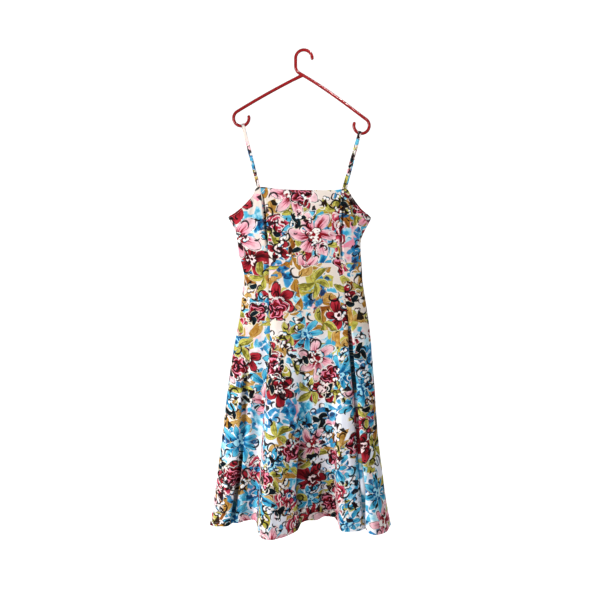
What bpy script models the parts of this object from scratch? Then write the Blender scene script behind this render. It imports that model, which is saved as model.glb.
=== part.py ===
"""Sundress with narrow straps, hanging on a bent plastic rod hanger.

Metres, +Z up. +X is to the right of someone who faces the front of the dress, and the front
faces -Y. The origin is the underside of the hanger's top hook, where it bears on a rail.
Left and right are as seen from the front.

The dress is a tube of six full-length panels. A point on it is given by its height and by
how far across it lies, 0 at the left side seam and 1 at the right one, on the front or the
back. Each panel is a wall between two seams, from its top edge down to the hem.
"""
import math

import bpy
import numpy as np

# Cloth
WALL = 0.0015            # thickness of a panel
STRAP_THICKNESS = 0.0020 # turned strap, four layers of cloth
STRAP_WIDTH = 0.0100
STRAP_SEWN = 0.014       # length of a strap's end inside the top edge
STRAP_SIDE_STEP = 0.004  # across, to either side of a strap's end, for its width's direction
GAP = 0.0003             # between pieces that touch

# Hanger rod
ROD_RADIUS = 0.0045
ROD_SIDES = 10
ROUND_END_ANGLES = (35, 65, 82)   # rings of a rod's round end
TOP_HOOK_RADIUS = 0.0240    # to the rod's centre line
END_HOOK_RADIUS = 0.0225
STEM_BEND_RADIUS = 0.0215
TOP_HOOK_CENTRE = (0.0, -TOP_HOOK_RADIUS + ROD_RADIUS)
STEM_FOOT = -0.0425         # height where the stem starts to bend towards the right arm
ARMS_MEET = (-0.0032, -0.0668)
LEFT_HOOK_CENTRE = (-0.1830, -0.1898)
RIGHT_HOOK_CENTRE = (0.1690, -0.2115)
LEFT_ARM_SLOPES = (25.5, 31.0)    # degrees below level, at the middle and at the end hook
RIGHT_ARM_SLOPES = (29.0, 36.5)
LEFT_TIP_RISE = 11.0              # degrees that an end hook's tip stands above its centre
RIGHT_TIP_RISE = 17.5
TOP_HOOK_STEPS = 12
STEM_BEND_STEPS = 6
ARM_STEPS = 4
END_HOOK_STEPS = 16
CUT_ALONG_HOOK = 6                # points of the hook and the right arm that shape the
CUT_ALONG_ARM = 2                 # inner end of the left arm

# Dress heights
HEM = -1.4270
FOLDS_START = -0.680     # just under the waist
HIP = -0.900             # where a fold's place is the one in the column "at the hip"
FOLDS_GROW = 1.35        # power of the growth of the folds from the waist to the hem
FOLDS_MOST = 1.05        # share of the folds where the hem dips below its mean height
SIDE_POWER = 8           # how late the front and back turn in to the side seams at the hem

# Height, left side, right side, left seam and right seam (across), front depth, back depth
OUTLINE = (
    # height    left     right   seam_l  seam_r  front   back
    (-0.3895, -0.2235, 0.1990, 0.2270, 0.7930, 0.0150, 0.0140),
    (-0.4415, -0.2235, 0.1990, 0.2390, 0.7840, 0.0210, 0.0160),
    (-0.4795, -0.2235, 0.1990, 0.2480, 0.7740, 0.0250, 0.0180),
    (-0.4995, -0.2125, 0.1910, 0.2470, 0.7710, 0.0260, 0.0190),
    (-0.5175, -0.2035, 0.1815, 0.2430, 0.7740, 0.0265, 0.0200),
    (-0.5535, -0.1970, 0.1690, 0.2420, 0.8050, 0.0260, 0.0220),
    (-0.5885, -0.1930, 0.1700, 0.2430, 0.8180, 0.0260, 0.0235),
    (-0.6245, -0.1835, 0.1735, 0.2240, 0.8300, 0.0260, 0.0250),
    (-0.6605, -0.1775, 0.1750, 0.2080, 0.8350, 0.0270, 0.0265),
    (-0.6965, -0.1830, 0.1800, 0.2150, 0.8360, 0.0290, 0.0290),
    (-0.7695, -0.1915, 0.1925, 0.2350, 0.8400, 0.0340, 0.0360),
    (-0.8605, -0.2090, 0.2035, 0.2560, 0.8480, 0.0380, 0.0460),
    (-0.9715, -0.2270, 0.2135, 0.2580, 0.8540, 0.0400, 0.0560),
    (-1.1395, -0.2485, 0.2270, 0.2570, 0.8560, 0.0400, 0.0680),
    (-1.2535, -0.2640, 0.2415, 0.2560, 0.8550, 0.0400, 0.0740),
    (-1.3685, -0.2800, 0.2585, 0.2550, 0.8540, 0.0400, 0.0800),
    (-1.4415, -0.2935, 0.2740, 0.2540, 0.8530, 0.0400, 0.0840),
)

# Folds of the front at the hem: across at the hem and at the hip, depth, lift of the hem
FRONT_FOLDS = (
    # at hem  at hip   depth   lift
    (0.000, 0.000, 0.000, -0.0010),
    (0.024, 0.020, 0.016, -0.0010),
    (0.068, 0.062, 0.028, 0.0040),
    (0.102, 0.098, 0.021, 0.0035),
    (0.128, 0.123, 0.002, 0.0060),
    (0.162, 0.160, 0.006, 0.0080),
    (0.198, 0.200, -0.004, 0.0120),
    (0.238, 0.235, -0.012, 0.0115),
    (0.256, 0.256, 0.004, 0.0080),
    (0.272, 0.276, 0.068, -0.0005),
    (0.299, 0.300, 0.098, -0.0045),
    (0.342, 0.338, 0.103, -0.0060),
    (0.395, 0.385, 0.090, -0.0060),
    (0.447, 0.440, 0.066, -0.0050),
    (0.485, 0.482, 0.036, -0.0040),
    (0.508, 0.508, 0.000, 0.0060),
    (0.545, 0.550, -0.009, 0.0100),
    (0.590, 0.600, -0.014, 0.0100),
    (0.640, 0.655, -0.028, 0.0175),
    (0.688, 0.712, -0.026, 0.0150),
    (0.706, 0.745, 0.000, 0.0100),
    (0.716, 0.762, 0.040, 0.0000),
    (0.738, 0.782, 0.054, -0.0010),
    (0.782, 0.808, 0.052, -0.0015),
    (0.828, 0.834, 0.042, -0.0025),
    (0.854, 0.854, 0.026, -0.0015),
    (0.872, 0.872, 0.056, -0.0065),
    (0.905, 0.902, 0.074, -0.0060),
    (0.937, 0.934, 0.070, -0.0065),
    (0.968, 0.966, 0.056, -0.0070),
    (0.990, 0.990, 0.030, -0.0015),
    (1.000, 1.000, 0.000, -0.0005),
)

# Folds of the back, which the front hides, as uneven as those of the front
BACK_FOLDS = (
    # at hem  at hip   depth   lift
    (0.000, 0.000, 0.000, -0.0010),
    (0.040, 0.036, 0.044, 0.0000),
    (0.085, 0.080, 0.070, -0.0030),
    (0.140, 0.130, 0.048, 0.0030),
    (0.190, 0.185, 0.060, 0.0020),
    (0.240, 0.240, 0.104, -0.0040),
    (0.295, 0.300, 0.112, -0.0050),
    (0.350, 0.360, 0.070, 0.0040),
    (0.410, 0.420, 0.062, 0.0050),
    (0.460, 0.465, 0.096, -0.0030),
    (0.520, 0.515, 0.118, -0.0050),
    (0.585, 0.575, 0.104, -0.0020),
    (0.640, 0.635, 0.080, 0.0040),
    (0.700, 0.700, 0.086, 0.0030),
    (0.750, 0.752, 0.116, -0.0040),
    (0.800, 0.800, 0.100, -0.0030),
    (0.850, 0.852, 0.056, 0.0040),
    (0.900, 0.900, 0.066, 0.0000),
    (0.945, 0.944, 0.074, -0.0030),
    (0.980, 0.980, 0.042, -0.0010),
    (1.000, 1.000, 0.000, -0.0005),
)

# Top edges: across, height. The armhole edges slant up to the strap, and the neckline dips.
FRONT_TOP = (
    # across   height
    (0.0000, -0.4760),
    (0.0300, -0.4700),
    (0.1140, -0.4420),
    (0.1590, -0.4215),
    (0.1820, -0.4065),
    (0.1980, -0.3920),
    (0.2080, -0.3900),
    (0.2280, -0.3900),
    (0.3850, -0.3970),
    (0.5600, -0.3990),
    (0.7250, -0.3995),
    (0.7820, -0.3970),
    (0.8180, -0.3945),
    (0.8340, -0.3980),
    (0.8520, -0.4090),
    (0.8740, -0.4235),
    (0.9000, -0.4385),
    (0.9380, -0.4575),
    (0.9780, -0.4705),
    (1.0000, -0.4791),
)
BACK_TOP = (
    # across   height
    (0.0000, -0.4791),
    (0.0900, -0.4615),
    (0.1600, -0.4415),
    (0.2050, -0.4325),
    (0.2400, -0.4320),
    (0.4000, -0.4375),
    (0.5600, -0.4385),
    (0.7300, -0.4370),
    (0.7900, -0.4325),
    (0.8300, -0.4335),
    (0.9000, -0.4535),
    (1.0000, -0.4791),
)

# Shaping of the bust: across, height, how far proud, half width across, half height
BUST = (
    # across  height   proud   wide    high
    (0.335, -0.506, 0.0070, 0.110, 0.048),
    (0.680, -0.506, 0.0070, 0.110, 0.048),
    (0.170, -0.500, 0.0035, 0.060, 0.045),
    (0.860, -0.500, 0.0035, 0.060, 0.045),
    (0.247, -0.515, -0.0045, 0.026, 0.060),
    (0.775, -0.515, -0.0035, 0.024, 0.055),
)

# Panels: name, back or front, seam on the left and on the right, columns
PANELS = (
    ("front_side_left", "front", "side_left", "seam_left", 10),
    ("front_centre", "front", "seam_left", "seam_right", 24),
    ("front_side_right", "front", "seam_right", "side_right", 9),
    ("back_side_left", "back", "side_left", "seam_left", 8),
    ("back_centre", "back", "seam_left", "seam_right", 18),
    ("back_side_right", "back", "seam_right", "side_right", 8),
)
PANEL_ROWS = 27
ROWS_CROWD_UP = 1.22     # rows lie closer together near the top edge
HEM_SAMPLES = 600        # samples that even out a panel's columns along its hem
TOP_EDGE_PASSES = 12     # rounds that settle a slanting seam on the top edge

# Straps: where the front and the back ends are sewn, across
LEFT_STRAP_ENDS = (0.2120, 0.2360)
RIGHT_STRAP_ENDS = (0.8060, 0.7970)
STRAP_STEPS_OVER_ROD = 6
STRAP_STEPS_HANGING = 5
STRAP_STEPS_SEWN = 2

CLOTH_COLOUR = (0.800, 0.735, 0.720, 1.0)
CLOTH_ROUGHNESS = 0.85
ROD_COLOUR = (0.270, 0.008, 0.010, 1.0)
ROD_ROUGHNESS = 0.22
SHARP_ANGLE = 50.0       # degrees between faces that stay a sharp edge

# Steps for the slope of the cloth
SMALL_ACROSS = 0.0004
SMALL_HEIGHT = 0.0004


def curve_through(places, values):
    """A smooth curve through a table that never swings past its rows (monotone cubic)."""
    x = np.array(places, float)
    y = np.array(values, float)
    order = np.argsort(x)
    x, y = x[order], y[order]
    step = np.diff(x)
    rise = np.diff(y) / step
    slope = np.zeros(len(x))
    same_way = rise[:-1] * rise[1:] > 0
    weight_a = 2 * step[1:] + step[:-1]
    weight_b = step[1:] + 2 * step[:-1]
    safe_a = np.where(same_way, rise[:-1], 1.0)
    safe_b = np.where(same_way, rise[1:], 1.0)
    mean = (weight_a + weight_b) / (weight_a / safe_a + weight_b / safe_b)
    slope[1:-1] = np.where(same_way, mean, 0.0)
    slope[0] = rise[0]
    slope[-1] = rise[-1]

    def value(at):
        at = np.clip(np.asarray(at, float), x[0], x[-1])
        i = np.clip(np.searchsorted(x, at) - 1, 0, len(x) - 2)
        t = (at - x[i]) / step[i]
        return (
            y[i] * (1 + 2 * t) * (1 - t) ** 2
            + slope[i] * step[i] * t * (1 - t) ** 2
            + y[i + 1] * t * t * (3 - 2 * t)
            + slope[i + 1] * step[i] * t * t * (t - 1)
        )

    return value


def column(table, index):
    return [row[index] for row in table]


HEIGHTS = column(OUTLINE, 0)
side_left_x = curve_through(HEIGHTS, column(OUTLINE, 1))
side_right_x = curve_through(HEIGHTS, column(OUTLINE, 2))
seam_left_across = curve_through(HEIGHTS, column(OUTLINE, 3))
seam_right_across = curve_through(HEIGHTS, column(OUTLINE, 4))
DEPTH = {
    "front": curve_through(HEIGHTS, column(OUTLINE, 5)),
    "back": curve_through(HEIGHTS, column(OUTLINE, 6)),
}
FOLDS = {"front": FRONT_FOLDS, "back": BACK_FOLDS}
FOLD_DEPTH = {
    side: curve_through(column(table, 0), column(table, 2)) for side, table in FOLDS.items()
}
HEM_LIFT = {
    side: curve_through(column(table, 0), column(table, 3)) for side, table in FOLDS.items()
}
TO_HEM_PLACE = {
    side: curve_through(column(table, 1), column(table, 0)) for side, table in FOLDS.items()
}
TOP = {
    "front": curve_through(column(FRONT_TOP, 0), column(FRONT_TOP, 1)),
    "back": curve_through(column(BACK_TOP, 0), column(BACK_TOP, 1)),
}
FACING = {"front": -1.0, "back": 1.0}


def seam_across(seam, z):
    """Where a seam lies across the dress at height z."""
    if seam == "side_left":
        return np.zeros_like(z)
    if seam == "side_right":
        return np.ones_like(z)
    return seam_left_across(z) if seam == "seam_left" else seam_right_across(z)


def cloth(side, across, z):
    """The outer face of the dress, points of shape (..., 3)."""
    across = np.clip(np.asarray(across, float), 0.0, 1.0)
    z = np.asarray(z, float)
    left = side_left_x(z)
    right = side_right_x(z)
    x = left + (right - left) * across
    from_middle = 2 * across - 1
    round_out = np.sqrt(np.maximum(1 - from_middle**2, 0))
    turn_in = np.sqrt(np.maximum(1 - from_middle**SIDE_POWER, 0))
    way_down = np.clip((FOLDS_START - z) / (FOLDS_START - HEM), 0, FOLDS_MOST)
    fold_share = way_down**FOLDS_GROW
    to_hip = np.clip((z - HEM) / (HIP - HEM), 0, 1)
    place = across + (TO_HEM_PLACE[side](across) - across) * to_hip
    plain = DEPTH[side](z) * round_out
    folded = FOLD_DEPTH[side](place) * turn_in
    depth = plain * (1 - fold_share) + folded * fold_share
    if side == "front":
        for middle, height, proud, wide, high in BUST:
            spread = ((across - middle) / wide) ** 2 + ((z - height) / high) ** 2
            depth = depth + proud * np.exp(-spread) * turn_in
    y = FACING[side] * (depth + GAP / 2)
    return np.stack(np.broadcast_arrays(x, y, z), axis=-1)


def way_out(side, across, z):
    """Unit normals of the outer face, pointing out of the dress."""
    low = np.clip(across - SMALL_ACROSS, 0, 1)
    high = np.clip(across + SMALL_ACROSS, 0, 1)
    over = cloth(side, high, z) - cloth(side, low, z)
    up = cloth(side, across, z + SMALL_HEIGHT) - cloth(side, across, z - SMALL_HEIGHT)
    normal = np.cross(over, up)
    if side == "back":
        normal = -normal
    at_side = (across <= 0) | (across >= 1)
    normal[..., 1] = np.where(at_side, 0.0, normal[..., 1])
    return normal / np.linalg.norm(normal, axis=-1, keepdims=True)


def even_columns(side, seam_a, seam_b, count):
    """Shares of a panel's width that lie evenly along its folded hem."""
    share = np.linspace(0, 1, HEM_SAMPLES)
    z = np.full_like(share, HEM)
    a = seam_across(seam_a, z)
    b = seam_across(seam_b, z)
    points = cloth(side, a + (b - a) * share, z)
    run = np.concatenate([[0], np.cumsum(np.linalg.norm(np.diff(points, axis=0), axis=1))])
    return np.interp(np.linspace(0, run[-1], count + 1), run, share)


def trimmed(side, across, z, inward):
    """across moved inward by half a gap along the cloth, at a seam."""
    step = cloth(side, across + SMALL_ACROSS * inward, z) - cloth(side, across, z)
    return across + inward * (GAP / 2) * SMALL_ACROSS / np.linalg.norm(step, axis=-1)


def panel_grid(side, seam_a, seam_b, columns, rows):
    """(across, z) of a panel's points, from the top edge to the hem."""
    share = even_columns(side, seam_a, seam_b, columns)
    down = np.linspace(0, 1, rows + 1) ** ROWS_CROWD_UP
    top = TOP[side](share)
    for _ in range(TOP_EDGE_PASSES):
        a = seam_across(seam_a, top)
        b = seam_across(seam_b, top)
        top = TOP[side](a + (b - a) * share)
    a = seam_across(seam_a, np.full_like(share, HEM))
    b = seam_across(seam_b, np.full_like(share, HEM))
    bottom = HEM + HEM_LIFT[side](a + (b - a) * share)
    z = top[None, :] + (bottom - top)[None, :] * down[:, None]
    a = seam_across(seam_a, z)
    b = seam_across(seam_b, z)
    across = a + (b - a) * share[None, :]
    if seam_a != "side_left":
        across[:, 0] = trimmed(side, across[:, 0], z[:, 0], 1.0)
    if seam_b != "side_right":
        across[:, -1] = trimmed(side, across[:, -1], z[:, -1], -1.0)
    return across, z


def wall_mesh(outer, inner):
    """Points and triangles of a wall between two grids, closed round its rim."""
    rows, columns = outer.shape[:2]
    points = np.concatenate([outer.reshape(-1, 3), inner.reshape(-1, 3)])
    shift = rows * columns
    faces = []
    for i in range(rows - 1):
        for j in range(columns - 1):
            a = i * columns + j
            b, c, d = a + 1, a + columns + 1, a + columns
            faces += [(a, d, c), (a, c, b)]
            faces += [(a + shift, c + shift, d + shift), (a + shift, b + shift, c + shift)]
    rim = list(range(columns))
    rim += [i * columns + columns - 1 for i in range(1, rows)]
    rim += [(rows - 1) * columns + j for j in range(columns - 2, -1, -1)]
    rim += [i * columns for i in range(rows - 2, 0, -1)]
    for a, b in zip(rim, rim[1:] + rim[:1]):
        faces += [(a, b, b + shift), (a, b + shift, a + shift)]
    return points, faces


def add_object(name, points, faces, material, origin=(0.0, 0.0, 0.0)):
    """One named object, smooth shaded, whose faces point out."""
    points = np.asarray(points, float)
    corners = points[np.array([face[:3] for face in faces])]
    six_volumes = np.sum(corners[:, 0] * np.cross(corners[:, 1], corners[:, 2]))
    if six_volumes < 0:
        faces = [tuple(reversed(face)) for face in faces]
    mesh = bpy.data.meshes.new(name)
    mesh.from_pydata([tuple(p) for p in points - np.array(origin)], [], faces)
    mesh.validate()
    mesh.materials.append(material)
    mesh.shade_smooth()
    mesh.set_sharp_from_angle(angle=math.radians(SHARP_ANGLE))
    made = bpy.data.objects.new(name, mesh)
    made.location = origin
    bpy.context.scene.collection.objects.link(made)
    return made


def plain_material(name, colour, roughness):
    material = bpy.data.materials.new(name)
    material.use_nodes = True
    shader = material.node_tree.nodes["Principled BSDF"]
    shader.inputs["Base Color"].default_value = colour
    shader.inputs["Roughness"].default_value = roughness
    shader.inputs["Metallic"].default_value = 0.0
    return material


def make_panel(name, side, seam_a, seam_b, columns, material):
    across, z = panel_grid(side, seam_a, seam_b, columns, PANEL_ROWS)
    outer = cloth(side, across, z)
    inner = outer - way_out(side, across, z) * WALL
    points, faces = wall_mesh(outer, inner)
    return add_object(name, points, faces, material)


def direction(degrees):
    """Unit vector (x, z) in the hanger's plane."""
    return np.array([math.cos(math.radians(degrees)), math.sin(math.radians(degrees))])


def arc(centre, radius, from_degrees, to_degrees, steps):
    """Points (x, z) of an arc in the hanger's plane."""
    angles = np.linspace(from_degrees, to_degrees, steps + 1)
    return [np.array(centre) + radius * direction(angle) for angle in angles]


def bowed(start, end, start_heading, end_heading, steps):
    """Points of a gently bowed run between two headings, given in degrees."""
    a = np.array(start)
    b = np.array(end)
    reach = np.linalg.norm(b - a) / 3
    control_a = a + direction(start_heading) * reach
    control_b = b - direction(end_heading) * reach
    points = []
    for t in np.linspace(0, 1, steps + 1):
        near_start = (1 - t) ** 3 * a + 3 * t * (1 - t) ** 2 * control_a
        near_end = 3 * t * t * (1 - t) * control_b + t**3 * b
        points.append(near_start + near_end)
    return points


def rod_rings(path, radius, round_start, round_end):
    """Rings of points round a path in the hanger's plane, with round or flat ends."""
    path = np.array(path, float)
    heading = np.gradient(path, axis=0)
    heading /= np.linalg.norm(heading, axis=1, keepdims=True)
    stations = [(place, radius, way) for place, way in zip(path, heading)]
    for degrees in ROUND_END_ANGLES:
        shrink, reach = radius * direction(degrees)
        if round_end:
            stations.append((path[-1] + heading[-1] * reach, shrink, heading[-1]))
        if round_start:
            stations.insert(0, (path[0] - heading[0] * reach, shrink, heading[0]))
    rings = []
    for place, size, way in stations:
        across_way = np.array([-way[1], way[0]])
        ring = []
        for k in range(ROD_SIDES):
            turn = 2 * math.pi * (k + 0.5) / ROD_SIDES
            flat = place + across_way * size * math.cos(turn)
            ring.append((flat[0], size * math.sin(turn), flat[1]))
        rings.append(ring)
    return np.array(rings)


def make_rod(name, path, material, round_start=False, round_end=False, radius=ROD_RADIUS):
    rings = rod_rings(path, radius, round_start, round_end)
    count = len(rings)
    points = rings.reshape(-1, 3)
    faces = []
    for i in range(count - 1):
        for k in range(ROD_SIDES):
            a = i * ROD_SIDES + k
            b = i * ROD_SIDES + (k + 1) % ROD_SIDES
            faces.append((a, b, b + ROD_SIDES, a + ROD_SIDES))
    faces.append(tuple(reversed(range(ROD_SIDES))))
    faces.append(tuple(range((count - 1) * ROD_SIDES, count * ROD_SIDES)))
    return add_object(name, points, faces, material, origin=tuple(points[0]))


def top_hook_path():
    """Over the top from the tip on the right, down the stem and round to the arms."""
    over = arc(TOP_HOOK_CENTRE, TOP_HOOK_RADIUS, 0, 180, TOP_HOOK_STEPS)
    stem_x = TOP_HOOK_CENTRE[0] - TOP_HOOK_RADIUS
    bend_centre = (stem_x + STEM_BEND_RADIUS, STEM_FOOT)
    bend_end = 270 - RIGHT_ARM_SLOPES[0]
    return over + arc(bend_centre, STEM_BEND_RADIUS, 180, bend_end, STEM_BEND_STEPS)


def right_arm_path(foot):
    """From the foot of the stem out along the right arm and round its end hook."""
    inner, outer = RIGHT_ARM_SLOPES
    hook_end = -180 - RIGHT_TIP_RISE
    hook = arc(RIGHT_HOOK_CENTRE, END_HOOK_RADIUS, 90 - outer, hook_end, END_HOOK_STEPS)
    start = foot + direction(-inner) * GAP
    return bowed(start, hook[0], -inner, -outer, ARM_STEPS) + hook[1:]


def left_arm_path():
    """From the rod that it is fused to out along the left arm and round its end hook."""
    inner, outer = LEFT_ARM_SLOPES
    hook_end = 360 + LEFT_TIP_RISE
    hook = arc(LEFT_HOOK_CENTRE, END_HOOK_RADIUS, 90 + outer, hook_end, END_HOOK_STEPS)
    return bowed(ARMS_MEET, hook[0], 180 + inner, 180 + outer, ARM_STEPS) + hook[1:]


def cut_left_arm_end(arm, top, right, material):
    """Cut the left arm's inner end to lie against the rod that it is fused to."""
    nearby = top[-CUT_ALONG_HOOK:] + right[1:1 + CUT_ALONG_ARM]
    cutter = make_rod("rod_clearance", nearby, material, radius=ROD_RADIUS + GAP)
    cutter.hide_render = True
    cutter.display_type = "WIRE"
    cut = arm.modifiers.new("against the rod", "BOOLEAN")
    cut.operation = "DIFFERENCE"
    cut.solver = "EXACT"
    cut.object = cutter
    return cutter


def make_hanger(material):
    top = top_hook_path()
    right = right_arm_path(top[-1])
    hook = make_rod("hanger_hook", top, material, round_start=True)
    arm_right = make_rod("hanger_arm_right", right, material, round_end=True)
    arm_left = make_rod("hanger_arm_left", left_arm_path(), material, round_end=True)
    cutter = cut_left_arm_end(arm_left, top, right, material)
    return [hook, arm_right, arm_left, cutter]


def sewn_point(side, across, z):
    """Middle of a strap's end, just inside a panel's inner face."""
    across = np.array(across)
    z = np.array(z)
    inset = WALL + GAP + STRAP_THICKNESS / 2
    return cloth(side, across, z) - way_out(side, across, z) * inset


def unit(vector):
    return vector / np.linalg.norm(vector)


def strand(side, across, hook_centre):
    """Stations of one strand from the rod down to its sewn end, and which way it pulls.

    A station is a middle point, the strap's width direction and its outward direction."""
    top = float(TOP[side](across))
    foot = sewn_point(side, across, top + GAP)
    beside = across + STRAP_SIDE_STEP * np.array([-1.0, 1.0])
    left_of_foot, right_of_foot = cloth(side, beside, np.full(2, top))
    width_at_foot = unit(right_of_foot - left_of_foot)
    pull = unit(foot[[0, 2]] - np.array(hook_centre))
    facing = FACING[side]
    over = ROD_RADIUS + GAP + STRAP_THICKNESS / 2
    start_x, start_z = np.array(hook_centre) + pull * END_HOOK_RADIUS
    start = np.array([start_x, facing * over, start_z])
    width_at_rod = np.array([-pull[1], 0.0, pull[0]])
    stations = []
    for t in np.linspace(0, 1, STRAP_STEPS_HANGING + 1)[1:]:
        middle = start + (foot - start) * t
        width = unit(width_at_rod + (width_at_foot - width_at_rod) * t)
        out = unit(np.cross(width, foot - start))
        stations.append((middle, width, out * facing * np.sign(out[1])))
    lean = (foot[0] - start[0]) / (start[2] - foot[2])
    row = float(side_right_x(top) - side_left_x(top))
    for k in range(1, STRAP_STEPS_SEWN + 1):
        down = STRAP_SEWN * k / STRAP_STEPS_SEWN
        place = np.array(across + lean * down / row)
        height = np.array(top - down)
        out = way_out(side, place, height)
        stations.append((sewn_point(side, place, height), width_at_foot, out))
    return stations, pull


def cross_section(middle, width, out):
    """The outer and the inner row of a strap's points at one station."""
    offsets = (-STRAP_WIDTH / 2, 0.0, STRAP_WIDTH / 2)
    outer = [middle + width * o + out * STRAP_THICKNESS / 2 for o in offsets]
    inner = [middle + width * o - out * STRAP_THICKNESS / 2 for o in offsets]
    return outer, inner


def section_over_rod(hook_centre, middle_angle, turn):
    """The outer and the inner row of a strap's points where it bends over the rod."""
    rows = []
    for reach in (ROD_RADIUS + GAP + STRAP_THICKNESS, ROD_RADIUS + GAP):
        outward, sideways = reach * direction(turn)
        row = []
        for offset in (-STRAP_WIDTH / 2, 0.0, STRAP_WIDTH / 2):
            angle = middle_angle + math.degrees(offset / END_HOOK_RADIUS)
            x, z = np.array(hook_centre) + (END_HOOK_RADIUS + outward) * direction(angle)
            row.append(np.array([x, sideways, z]))
        rows.append(row)
    return rows


def make_strap(name, ends, hook_centre, material):
    """A strap from its front end up over the hanger's end hook and down to its back end."""
    front, front_pull = strand("front", ends[0], hook_centre)
    back, back_pull = strand("back", ends[1], hook_centre)
    pull = front_pull + back_pull
    middle_angle = math.degrees(math.atan2(pull[1], pull[0]))
    sections = [cross_section(*station) for station in reversed(front)]
    for turn in np.linspace(-90, -270, STRAP_STEPS_OVER_ROD + 1):
        sections.append(section_over_rod(hook_centre, middle_angle, turn))
    sections += [cross_section(*station) for station in back]
    outer = np.array([section[0] for section in sections])
    inner = np.array([section[1] for section in sections])
    points, faces = wall_mesh(outer, inner)
    return add_object(name, points, faces, material)


def main():
    for old in list(bpy.data.objects):
        bpy.data.objects.remove(old, do_unlink=True)
    holder = bpy.data.objects.new("sundress_on_hanger", None)
    bpy.context.scene.collection.objects.link(holder)
    made = make_hanger(plain_material("hanger_plastic", ROD_COLOUR, ROD_ROUGHNESS))
    cloth_material = plain_material("printed_cotton", CLOTH_COLOUR, CLOTH_ROUGHNESS)
    for name, side, seam_a, seam_b, columns in PANELS:
        made.append(make_panel(name, side, seam_a, seam_b, columns, cloth_material))
    strap_material = plain_material("strap_cotton", CLOTH_COLOUR, CLOTH_ROUGHNESS)
    made.append(make_strap("strap_left", LEFT_STRAP_ENDS, LEFT_HOOK_CENTRE, strap_material))
    made.append(make_strap("strap_right", RIGHT_STRAP_ENDS, RIGHT_HOOK_CENTRE, strap_material))
    for piece in made:
        piece.parent = holder


main()
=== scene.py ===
"""Looks of a printed cotton sundress that hangs by its straps on a plastic rod hanger.

Metres, +Z up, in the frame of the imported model: +X is to the right of someone who faces the
front, the front faces -Y, and left and right are as seen from the front. The file is laid
out as an add-on, with settings, one operator for each group of pieces and a panel.
"""
import math

import bpy
import numpy as np
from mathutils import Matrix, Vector


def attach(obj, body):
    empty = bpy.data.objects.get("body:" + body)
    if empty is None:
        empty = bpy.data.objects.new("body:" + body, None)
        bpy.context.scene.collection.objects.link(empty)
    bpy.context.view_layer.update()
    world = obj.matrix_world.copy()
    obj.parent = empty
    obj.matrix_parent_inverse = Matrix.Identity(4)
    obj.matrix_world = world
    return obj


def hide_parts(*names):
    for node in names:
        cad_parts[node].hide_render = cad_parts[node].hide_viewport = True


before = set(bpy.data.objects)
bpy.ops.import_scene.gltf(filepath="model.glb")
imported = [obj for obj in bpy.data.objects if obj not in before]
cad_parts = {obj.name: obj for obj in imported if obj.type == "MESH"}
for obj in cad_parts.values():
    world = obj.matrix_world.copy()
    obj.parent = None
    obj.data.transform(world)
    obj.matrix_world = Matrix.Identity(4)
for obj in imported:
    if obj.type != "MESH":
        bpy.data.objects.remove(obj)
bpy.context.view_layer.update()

bl_info = {
    "name": "Sundress on a hanger",
    "version": (1, 0, 0),
    "blender": (4, 5, 0),
    "location": "3D View > Sidebar > Sundress",
    "description": "Makes the cloth, straps, sewing, hanger and stage of a hanging sundress",
    "category": "Object",
}

# Sizes that the solids have too
GAP = 0.0003
STRAP_WIDTH = 0.0100
STRAP_THICKNESS = 0.0020
STRAP_SEWN = 0.014
STRAP_SIDE_STEP = 0.004
SOLID_WALL = 0.0015
ROD_RADIUS = 0.0045
TOP_HOOK_RADIUS = 0.0240
END_HOOK_RADIUS = 0.0225
STEM_BEND_RADIUS = 0.0215
TOP_HOOK_CENTRE = (0.0, -TOP_HOOK_RADIUS + ROD_RADIUS)
STEM_FOOT = -0.0425
ARMS_MEET = (-0.0032, -0.0668)
LEFT_HOOK_CENTRE = (-0.1830, -0.1898)
RIGHT_HOOK_CENTRE = (0.1690, -0.2115)
LEFT_ARM_SLOPES = (25.5, 31.0)
RIGHT_ARM_SLOPES = (29.0, 36.5)
LEFT_TIP_RISE = 11.0
RIGHT_TIP_RISE = 17.5

# Dress heights
HEM = -1.4270
FOLDS_START = -0.680     # just under the waist
HIP = -0.900             # where a fold's place is the one in the column "at the hip"
FOLDS_GROW = 1.35        # power of the growth of the folds from the waist to the hem
FOLDS_MOST = 1.05        # share of the folds where the hem dips below its mean height
SIDE_POWER = 8           # how late the front and back turn in to the side seams at the hem

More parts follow.
